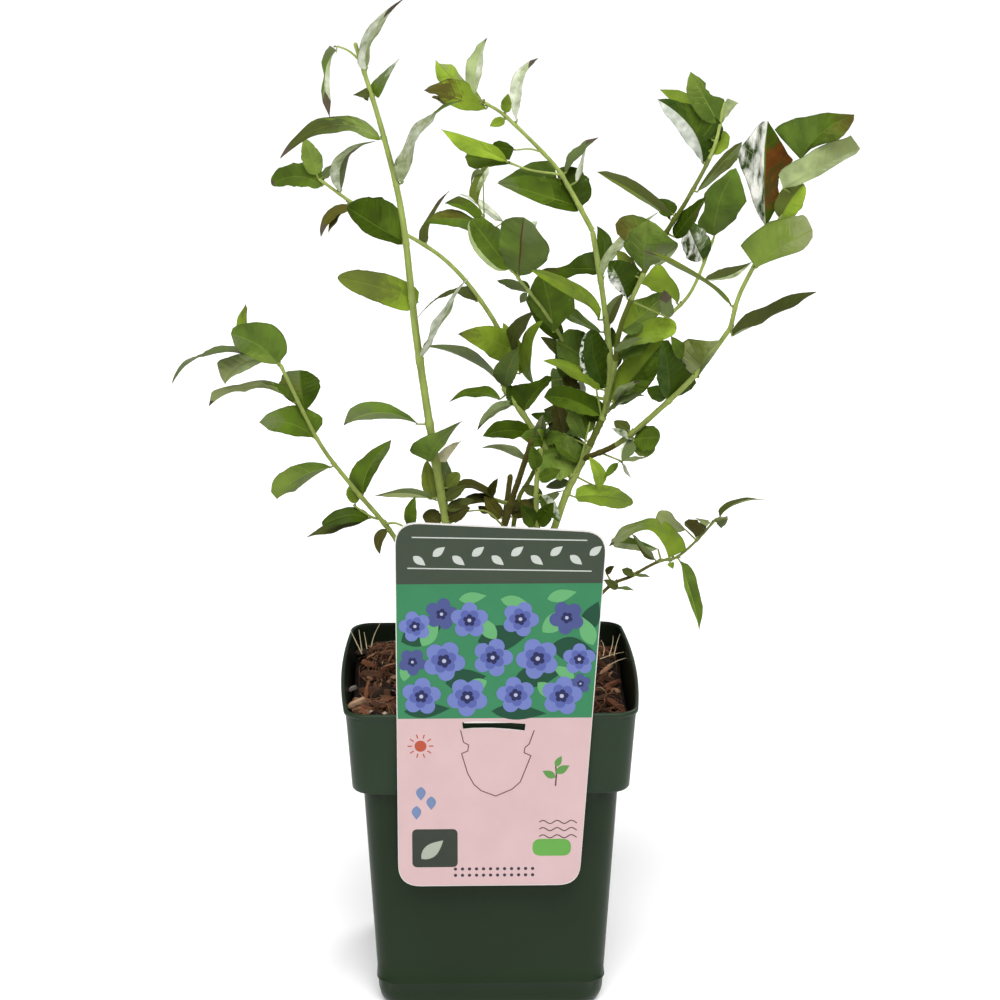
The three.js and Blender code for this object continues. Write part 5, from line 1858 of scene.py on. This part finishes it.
def scatter_chips(spot, rng):
    """Bark chips: a scatter all over, then the long ones that show at the front."""
    look = dict(mottling=0.3, blotch=3, grain=0.5, relief=0.15, stretch=(1, 0.4, 1))
    tones = {
        tone: surface("bark_chip_" + tone, color, 0.85, **look)
        for tone, color in CHIP_TONES.items()
    }
    chips = Build("bark_chips")
    big_share, growth = BIG_CHIP
    for _ in range(CHIPS):
        x, y = spot(4)
        size = rng.uniform(*CHIP_HALF) * (growth if rng.random() < big_share else 1)
        place = Vector((x, y, soil_height(x, y) + rng.uniform(*CHIP_REST)))
        heading = Vector((rng.gauss(0, 1), rng.gauss(0, 1), rng.gauss(0, 0.35)))
        wide = size * rng.uniform(*CHIP_SLENDER)
        tone = rng.choices(list(CHIP_MIX), CHIP_MIX.values())[0]
        add_chip(chips, place, heading, size, wide, rng, tones[tone])
    for start, end, width, tone in LONG_CHIPS:
        start, end = on_soil(start), on_soil(end)
        run = end - start
        add_chip(chips, (start + end) / 2, run, run.length / 2, width / 2, rng, tones[tone])
    chips.make("bark_soil", sharp_angle=30)


def scatter_fibres(spot, rng, half, coir):
    """Coir threads, thickest on the heaps."""
    fibres = Build("coir_fibres")
    for _ in range(FIBRES):
        heap_x, heap_y, spread, _rise = rng.choices(HEAPS, FIBRE_HEAPS)[0]
        if rng.random() < FIBRES_ON_HEAPS:
            x, y = rng.gauss(heap_x, spread * 0.6), rng.gauss(heap_y, spread * 0.6)
        else:
            x, y = spot(4)
        if max(abs(x), abs(y)) > half - 3:
            continue
        add_fibre(fibres, x, y, rng, half, rng.choices(coir, COIR_MIX)[0])
    fibres.make("bark_soil")


def scatter_crumbs(spot, rng, half):
    """Pale crumbs, some of them gathered in the front left corner."""
    white = surface(
        "soil_crumb", (196, 186, 168), 0.9, mottling=0.15, blotch=1.5, grain=0.3, relief=0.2
    )
    crumbs = Build("soil_crumbs")
    corner_x, corner_y, spread = CORNER_PLACE
    for i in range(CRUMBS):
        if i < CORNER_CRUMBS:
            x, y = rng.gauss(corner_x, spread), rng.gauss(corner_y, spread)
        else:
            x, y = spot(5)
        if max(abs(x), abs(y)) < half - 2:
            place = Vector((x, y, soil_height(x, y) + 1.2))
            add_crumb(crumbs, place, rng.uniform(*CRUMB_SIZE), rng, white)
    crumbs.make("bark_soil", sharp_angle=30)


def build_soil():
    """The bed of soil and all that lies on it. One generator serves them in turn."""
    rng = random.Random(SOIL_SEED)
    half = soil_half()

    def spot(margin):  # a place on the soil, some way in from the pot's wall
        return [rng.uniform(margin - half, half - margin) for _ in range(2)]

    coir = [
        surface("coir_" + tone, color, 0.8, mottling=0.2, blotch=2, grain=0.3, relief=0.05)
        for tone, color in COIR_COLORS.items()
    ]
    build_soil_bed(half)
    scatter_chips(spot, rng)
    scatter_fibres(spot, rng, half, coir)
    scatter_crumbs(spot, rng, half)
    straw = Build("straw_strands")
    for root, root_y, tip, tip_y in STRAWS:
        add_straw(straw, photo_place(root, root_y), photo_place(tip, tip_y), rng, coir[-1])
    straw.make("bark_soil")


def on_soil(pixel):
    """Where a pixel's ray meets the soil, or rather the chips that lie on it."""
    ray = photo_ray(pixel)
    level = SOIL["level"]
    for _ in range(4):
        place = CAMERA_PLACE + ray * ((level - CAMERA_PLACE.z) / ray.z)
        level = soil_height(place.x, place.y) + CHIP_TOP
    return place


def add_chip(build, place, heading, size, wide, rng, material):
    """A splinter of bark: a flat, torn prism with slanting ends. size is half its length."""
    heading = heading.normalized()
    aside = heading.orthogonal().normalized()
    aside = Matrix.Rotation(rng.uniform(0, TURN), 3, heading) @ aside
    away = heading.cross(aside)
    thick = wide * rng.uniform(0.35, 0.6)
    rings = []
    for along in CHIP_CUTS:
        shrink = rng.uniform(0.25, 0.6) if abs(along) == 1 else rng.uniform(0.8, 1.1)
        ring = []
        for angle in turns(FACETS):
            out = aside * math.cos(angle) * wide + away * math.sin(angle) * thick
            torn = along + rng.uniform(-0.12, 0.12)
            ring.append(place + heading * size * torn + out * shrink)
        rings.append(ring)
    build.loft(rings, material)


def add_fibre(build, x, y, rng, half, material):
    """A curling thread that lies on the soil."""
    length = rng.uniform(5, 18)
    turn = rng.uniform(0, TURN)
    curl = rng.uniform(-0.5, 0.5)
    lift = rng.uniform(0.4, 2.4)
    path = []
    for i in range(FIBRE_STEPS + 1):
        arch = lift * math.sin(math.pi * i / FIBRE_STEPS) + 0.9
        waver = 0.5 * noise.noise(Vector((x, y, 5)) * 0.4)
        path.append(Vector((x, y, soil_height(x, y) + arch + waver)))
        turn += curl * rng.uniform(0.2, 1.2)
        x = max(2 - half, min(half - 2, x + math.cos(turn) * length / FIBRE_STEPS))
        y = max(2 - half, min(half - 2, y + math.sin(turn) * length / FIBRE_STEPS))
    if (path[-1] - path[0]).length > 1:
        thick = rng.uniform(0.1, 0.28)
        radii = [thick * (1 - 0.6 * i / FIBRE_STEPS) for i in range(FIBRE_STEPS + 1)]
        build.tube(path, radii, material, sides=4)


def add_straw(build, root, tip, rng, material):
    """A loose stalk, thinner towards its tip, that bows a little."""
    bow = Vector((rng.uniform(-1, 1), rng.uniform(-1, 1), rng.uniform(0.2, 1)))
    shares = [i / STRAW_STEPS for i in range(STRAW_STEPS + 1)]
    path = [root.lerp(tip, share) + bow * math.sin(math.pi * share) for share in shares]
    build.tube(path, [0.3 - 0.02 * i for i in range(len(path))], material, sides=5)


def add_crumb(build, place, size, rng, material):
    """A small angular lump."""
    rings = []
    for along, share in CRUMB_CUTS:
        ring = []
        for angle in turns(FACETS):
            out = size * share * rng.uniform(0.75, 1.15)
            offset = Vector((math.cos(angle) * out, math.sin(angle) * out, along * size))
            ring.append(place + offset)
        rings.append(ring)
    build.loft(rings, material)


# ---- card --------------------------------------------------------------------

CARD_FRONT = -65.85
CARD_THICKNESS = 0.7
CARD_CORNERS = [(-41.2, 66), (38.6, 66), (49.6, 229), (-41.2, 234)]
CARD_RADIUS = 10.0
CARD_HALF = 45  # about half its width
CARD_SLOT = [  # the hole that the hook leaves behind
    (-12.9, 142.9), (-8, 143.3), (0, 143.2), (8, 142.6), (14.9, 142.0),
    (14.6, 138.6), (8, 139.4), (0, 140.0), (-8, 140.0), (-12.6, 139.6),
]
PRINT_LIFT = 0.03  # each layer of print over the one below it
PRINT_THICKNESS = 0.1
HOOK = dict(left=-12.0, right=13.5, over=0.7, inner=-62.45, drop=9.0, taper=1.2)
PANEL_TOP = 144.7  # foot of the picture and top of the plain panel
HEADER_FOOT = 206.0
TONGUE_CUT = [  # the cut line of the tongue that folds over the rim, drawn as a stroke of painted shade
    (-13.5, 139.3), (-12.2, 133.6), (-10.0, 132.4), (-10.4, 129.6), (-13.1, 128.4),
    (-10.5, 119.2), (-7.8, 114.0), (-4.6, 111.0), (1.8, 108.4), (9.0, 111.6),
    (12.6, 115.0), (17.2, 127.2), (14.2, 128.6), (14.6, 131.0), (16.4, 132.6), (18.6, 139.0),
]


def rounded(corners, radius, steps=8):
    """A closed outline with each corner replaced by an arc."""
    places = [Vector(c) for c in corners]
    outline_points = []
    for i, corner in enumerate(places):
        before = (places[i - 1] - corner).normalized()
        after = (places[(i + 1) % len(places)] - corner).normalized()
        reach = radius / math.tan(before.angle(after) / 2)
        start, end = corner + before * reach, corner + after * reach
        for k in range(steps + 1):
            t = k / steps
            outline_points.append(start * (1 - t) ** 2 + corner * (2 * t * (1 - t)) + end * t**2)
    return outline_points


def cut_plate(name, outlines, front, thickness, material, bevel):
    """A flat plate cut from outlines in x and z. Later outlines are holes."""
    curve = bpy.data.curves.new(name, "CURVE")
    curve.dimensions = "2D"
    curve.fill_mode = "BOTH"
    curve.extrude = (thickness / 2 - bevel) * MM
    curve.bevel_depth = bevel * MM
    curve.bevel_resolution = 1
    for points in outlines:
        spline = curve.splines.new("POLY")
        spline.points.add(len(points) - 1)
        for target, p in zip(spline.points, points):
            target.co = (p[0] * MM, p[1] * MM, 0, 1)
        spline.use_cyclic_u = True
    draft = bpy.data.objects.new(name, curve)
    bpy.context.scene.collection.objects.link(draft)
    depsgraph = bpy.context.evaluated_depsgraph_get()
    mesh = bpy.data.meshes.new_from_object(draft.evaluated_get(depsgraph))
    bpy.data.objects.remove(draft)
    for vertex in mesh.vertices:
        x, z, out = vertex.co
        vertex.co = (x, (front + thickness / 2) * MM - out, z)
    mesh.flip_normals()
    mesh.materials.clear()
    mesh.materials.append(material)
    return mesh


def join_meshes(name, meshes):
    """One object from several meshes, each with its own material."""
    objects = []
    for mesh in meshes:
        item = bpy.data.objects.new(name, mesh)
        bpy.context.scene.collection.objects.link(item)
        objects.append(item)
    with bpy.context.temp_override(active_object=objects[0], selected_editable_objects=objects):
        bpy.ops.object.join()
    return objects[0]


def polar(x, z, angle, reach):
    """The place at some reach from x, z."""
    return x + math.cos(angle) * reach, z + math.sin(angle) * reach


def disc(x, z, radius, sides=20):
    """A round outline."""
    return [polar(x, z, angle, radius) for angle in turns(sides)]


def lens(x, z, length, width, angle):
    """A pointed leaf shape with its foot at x, z."""
    spin = Matrix.Rotation(math.radians(angle), 2)
    steps = [i / 10 for i in range(11)]
    edge = [(s * length, math.sin(math.pi * s**0.8) * width / 2) for s in steps]
    both = edge + [(a, -b) for a, b in edge[-2:0:-1]]
    return [Vector((x, z)) + spin @ Vector(p) for p in both]


def bar(start, end, width):
    """A straight stroke with square ends."""
    a, b = Vector(start), Vector(end)
    aside = (b - a).normalized().orthogonal() * width / 2
    return [a + aside, b + aside, b - aside, a - aside]


def strokes(points, width):
    """A line of straight strokes."""
    return [bar(a, b, width) for a, b in zip(points, points[1:])]


def block(left, bottom, right, top, radius):
    """A rectangle with rounded corners."""
    return rounded([(left, bottom), (right, bottom), (right, top), (left, top)], radius)


def card_band(bottom, top, inset):
    """The part of the card's face between two heights, just inside its edges."""
    shape = rounded(CARD_CORNERS, CARD_RADIUS)
    middle = sum(shape, Vector((0, 0))) / len(shape)
    inner = [middle + (p - middle) * (1 - inset / CARD_HALF) for p in shape]
    points = [p for p in inner if bottom < p.y < top]
    for a, b in zip(inner, inner[1:] + inner[:1]):
        for level in (bottom, top):
            if (a.y - level) * (b.y - level) < 0:
                points.append(a.lerp(b, (level - a.y) / (b.y - a.y)))
    hub = sum(points, Vector((0, 0))) / len(points)
    return sorted(points, key=lambda p: math.atan2(p.y - hub.y, p.x - hub.x))


def bloom(x, z, radius, turn, lobes=5):
    """A round flower with lobed petals, as one outline."""
    places = []
    for angle in turns(lobes * 12):
        reach = radius * (0.66 + 0.34 * abs(math.cos(lobes / 2 * (angle - turn))) ** 0.7)
        places.append(polar(x, z, angle, reach))
    return places


BLOOMS = [  # x, z, radius and turn of each flower on the generic picture
    (-30.5, 155.0, 8.6, 0.2), (-10.5, 154.6, 9.0, 0.9), (10.5, 155.4, 8.4, 0.5),
    (30.5, 154.8, 9.0, 1.4), (-20.5, 171.2, 9.2, 1.1), (0.5, 172.6, 8.8, 0.0),
    (20.0, 172.0, 9.4, 0.7), (38.0, 171.6, 7.2, 0.3), (-33.0, 187.0, 7.0, 0.6),
    (-9.5, 189.6, 8.2, 0.3), (12.5, 190.0, 8.0, 1.2),
]
BACK_BLOOMS = [
    (-34.2, 170.8, 6.2, 1.0), (-21.5, 192.5, 7.2, 0.1), (32.5, 190.5, 7.6, 0.8),
    (38.6, 160.4, 4.6, 0.4),
]
PICTURE_LEAVES = [  # x and z of the foot, length, width and angle
    (22, 184, 16, 8, 40), (2, 181, 13, 6.5, 128), (-30, 178, 14, 7, 60), (44, 178, 14, 7, 112),
    (20, 161, 12, 6, -42), (-2, 162, 12, 6, 205), (-38, 162, 11, 5, 80), (36, 163, 11, 5, 150),
    (-14, 199, 12, 5, 8), (4, 199, 13, 5.5, -12), (24, 199, 13, 5.5, 14),
]
SHADE_LEAVES = [  # the darker ones behind them
    (-39, 180, 20, 11, 24), (-6, 180, 22, 12, 8), (26, 178, 20, 11, -12), (-20, 161, 18, 10, 10),
    (10, 163, 20, 10, 6), (-38, 148, 20, 7, 4), (0, 148, 24, 7, -3), (40, 184, 15, 8, 66),
]


# Each ink is (colour, roughness, layer).
INKS = {
    "print_panel": ((228, 195, 196), 0.38, 1),
    "print_header": ((72, 82, 68), 0.42, 1),
    "print_picture": ((66, 142, 98), 0.36, 1),
    "print_shade_leaves": ((38, 84, 62), 0.36, 2),
    "print_leaves": ((112, 184, 122), 0.36, 3),
    "print_back_blooms": ((84, 94, 150), 0.36, 4),
    "print_blooms": ((122, 136, 202), 0.36, 5),
    "print_petal_shade": ((96, 108, 178), 0.36, 6),
    "print_hearts": ((48, 52, 96), 0.36, 7),
    "print_eyes": ((196, 200, 226), 0.36, 8),
    "print_border": ((214, 220, 212), 0.4, 2),
    "print_sun": ((196, 92, 70), 0.4, 2),
    "print_drops": ((126, 146, 186), 0.4, 2),
    "print_lines": ((94, 72, 70), 0.45, 2),
    "print_shoots": ((104, 160, 84), 0.4, 3),
    "print_block": ((64, 70, 62), 0.42, 2),
    "print_block_leaf": ((184, 192, 176), 0.42, 3),
    "print_pill": ((112, 178, 84), 0.4, 2),
    "print_dots": ((70, 66, 76), 0.45, 2),
    # a dark stroke of painted shade in the tongue's cut
    "tongue_cut_shade": ((118, 84, 84), 0.5, 2),
}
SUN_PLACE = (-31, 132)
SUN_RAYS = 10
FINE = 0.45  # width of the waves and of the tongue's cut line


def picture_prints():
    """The outlines of the picture: flowers on leaves."""
    every_bloom = BLOOMS + BACK_BLOOMS
    return {
        "print_shade_leaves": [lens(*shape) for shape in SHADE_LEAVES],
        "print_leaves": [lens(*shape) for shape in PICTURE_LEAVES],
        "print_back_blooms": [bloom(*place) for place in BACK_BLOOMS],
        "print_blooms": [bloom(*place) for place in BLOOMS],
        "print_petal_shade": [bloom(x, z, r * 0.62, turn + 0.63) for x, z, r, turn in BLOOMS],
        "print_hearts": [bloom(x, z, r * 0.34, turn) for x, z, r, turn in every_bloom],
        "print_eyes": [disc(x, z, r * 0.1, 12) for x, z, r, _ in every_bloom],
    }


def header_prints():
    """The outlines of the header: a row of leaves between two rules."""
    foot = HEADER_FOOT
    row = [
        lens(-33.5 + 8.4 * i, foot + 12.5, 6.6, 3.4, 38 if i % 2 else -38) for i in range(10)
    ]
    rules = [
        bar((-36, foot + 7.2), (43, foot + 5.4), 0.5),
        bar((-34, foot + 21), (41, foot + 19.2), 0.5),
    ]
    return {"print_border": row + rules}


def panel_prints():
    """The outlines of the plain panel's small motifs."""
    rays = [
        bar(polar(*SUN_PLACE, angle, 3.7), polar(*SUN_PLACE, angle, 5.6), 0.5)
        for angle in turns(SUN_RAYS)
    ]
    waves = []
    for k in range(3):
        points = [(21 + i * 1.1, 96 - 3.4 * k + 0.8 * math.sin(i * 1.1)) for i in range(16)]
        waves += strokes(points, FINE)
    sprout = strokes([(28, 113), (28.4, 118), (28, 123)], 0.6)
    return {
        "print_sun": [disc(*SUN_PLACE, 2.6)] + rays,
        "print_drops": [
            lens(x, z, 6.4, 4.2, -90) for x, z in ((-31, 113), (-26.5, 108.5), (-33, 104))
        ],
        "print_lines": waves + sprout,
        "print_shoots": [
            lens(28, 119, 7, 3.6, 30), lens(28, 117, 6.4, 3.4, 152), lens(28, 122, 5.6, 2.8, 62)
        ],
        "print_block": [block(-35, 75, -15, 93, 2.4)],
        "print_block_leaf": [lens(-31, 79, 13, 6, 42)],
        "print_pill": [block(18, 80, 35, 88, 3.8)],
        "print_dots": [disc(-16 + 3.1 * i, z, 0.75, 12) for z in (71, 74) for i in range(12)],
        "tongue_cut_shade": strokes(TONGUE_CUT, FINE),
    }


def card_prints():
    """The outlines of the whole generic print, under the names of their inks."""
    return {
        "print_panel": [card_band(60, PANEL_TOP, 0.15)],
        "print_header": [card_band(HEADER_FOOT, 240, 0.3)],
        "print_picture": [card_band(PANEL_TOP, HEADER_FOOT, 0.3)],
        **picture_prints(),
        **header_prints(),
        **panel_prints(),
    }


def build_hook(material):
    """The mesh of the folded tongue that holds the card on the rim."""
    build = Build("card_hook")
    left, right, inner = HOOK["left"], HOOK["right"], HOOK["inner"]
    rim_top = POT["height"] + HOOK["over"]
    outside = [(-65.5, 142.5), (-65.5, 145.4), (-65.3, 146.3), (-64.6, rim_top)]
    over = [(-63.4, rim_top + 0.05), (-62.7, rim_top - 0.3)]
    inside = [(inner, 145.7), (inner + 0.2, 142), (inner + 0.5, POT["height"] - HOOK["drop"])]
    line = outside + over + inside
    rings = []
    for i, (y, z) in enumerate(line):
        before, after = Vector(line[max(0, i - 1)]), Vector(line[min(len(line) - 1, i + 1)])
        out = (after - before).normalized().orthogonal() * CARD_THICKNESS / 2
        taper = HOOK["taper"] * max(0, i - len(outside + over))
        rings.append([
            Vector((left + taper, y + out.x, z + out.y)),
            Vector((right - taper, y + out.x, z + out.y)),
            Vector((right - taper, y - out.x, z - out.y)),
            Vector((left + taper, y - out.x, z - out.y)),
        ])
    build.loft(rings, material)
    piece = build.make("card", sharp_angle=40)
    mesh = piece.data
    bpy.data.objects.remove(piece)
    return mesh


def build_card():
    """The card with its hook, and its print in thin layers."""
    white = surface(
        "card_white", (244, 240, 236), 0.38, mottling=0.03, blotch=14, grain=0.5, relief=0.01
    )
    outlines = [rounded(CARD_CORNERS, CARD_RADIUS), CARD_SLOT]
    plate = cut_plate("card_plate", outlines, CARD_FRONT, CARD_THICKNESS, white, bevel=0.1)
    place_piece(join_meshes("card_plate", [plate, build_hook(white)]), "card", "tag")
    prints = card_prints()
    for name, (color, roughness, layer) in INKS.items():
        ink = surface(name, color, roughness, mottling=0.03, blotch=14, grain=0.4, relief=0.008)
        holes = [CARD_SLOT] if name == "print_panel" else []
        front = CARD_FRONT - layer * PRINT_LIFT
        meshes = [
            cut_plate(name, [shape, *holes], front, PRINT_THICKNESS, ink, bevel=0.015)
            for shape in prints[name]
        ]
        place_piece(join_meshes(name, meshes), "card")


# ---- room --------------------------------------------------------------------


FLOOR_REACH = 9000.0  # each way from the middle
FLOOR_STEPS = 12
FLOOR_DROP = 0.5  # under the pot's foot


def build_room():
    """A wide sheet of white paper, which stands for the photo's plain ground."""
    floor = Build("studio_floor")
    paper = surface(
        "studio_paper", (250, 250, 250), 0.9, mottling=0.004, blotch=400, grain=3, light_share=1
    )
    across = [(i / FLOOR_STEPS - 0.5) * 2 * FLOOR_REACH for i in range(FLOOR_STEPS + 1)]
    indexes = [floor.add([Vector((x, y, -FLOOR_DROP)) for x in across]) for y in across]
    for low, high in zip(indexes, indexes[1:]):
        for k in range(FLOOR_STEPS):
            floor.face([low[k], low[k + 1], high[k + 1], high[k]], paper)
    mesh = bpy.data.meshes.new("studio_floor")
    mesh.from_pydata([p * MM for p in floor.points], [], floor.faces)
    mesh.materials.append(paper)
    piece = bpy.data.objects.new("studio_floor", mesh)
    bpy.context.scene.collection.objects.link(piece)
    piece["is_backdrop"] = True


SUNS = [  # name, direction it comes from, strength and width in degrees
    ("light_key", (-0.1, -1.0, 1.3), 3.0, 40),
    ("light_fill", (0.8, -0.9, 1.0), 0.9, 70),
]
SOFTBOXES = [  # name, place, target, size in mm and watts
    ("light_box_left", (-1500, -900, 1500), (0, 0, 250), 900, 8),
    ("light_box_back", (900, 1300, 1500), (0, 0, 250), 1000, 16),
]
SKY = 0.22  # strength of the even white light from all around


def build_lights():
    """Two wide suns, two softboxes and the sky."""
    for name, source, strength, spread in SUNS:
        data = bpy.data.lights.new(name, "SUN")
        data.energy = strength
        data.angle = math.radians(spread)
        place_light(name, data, Vector(source) * 1000, Vector())
    for name, place, target, size, watts in SOFTBOXES:
        data = bpy.data.lights.new(name, "AREA")
        data.shape = "SQUARE"
        data.size = size * MM
        data.energy = watts
        place_light(name, data, Vector(place), Vector(target))
    world = bpy.data.worlds.new("studio")
    world.use_nodes = True
    background = world.node_tree.nodes["Background"]
    background.inputs["Color"].default_value = (1, 1, 1, 1)
    background.inputs["Strength"].default_value = SKY
    bpy.context.scene.world = world
    bpy.context.scene.view_settings.view_transform = "Standard"


def place_light(name, data, place, target):
    """A lamp that shines from its place to its target."""
    lamp = bpy.data.objects.new(name, data)
    lamp.location = place * MM
    lamp.rotation_euler = (place - target).to_track_quat("Z", "Y").to_euler()
    bpy.context.scene.collection.objects.link(lamp)


def write_sizes():
    """The boxes of the CAD model and of the looks, made into lists that are not kept."""
    boxes = {"cad": CAD_BOX, "visual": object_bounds()}
    {name: [list(corner) for corner in box] for name, box in boxes.items()}


make_camera()
build_foliage()
build_limbs()
build_pot()
build_soil()
build_card()
build_room()
build_lights()
write_sizes()
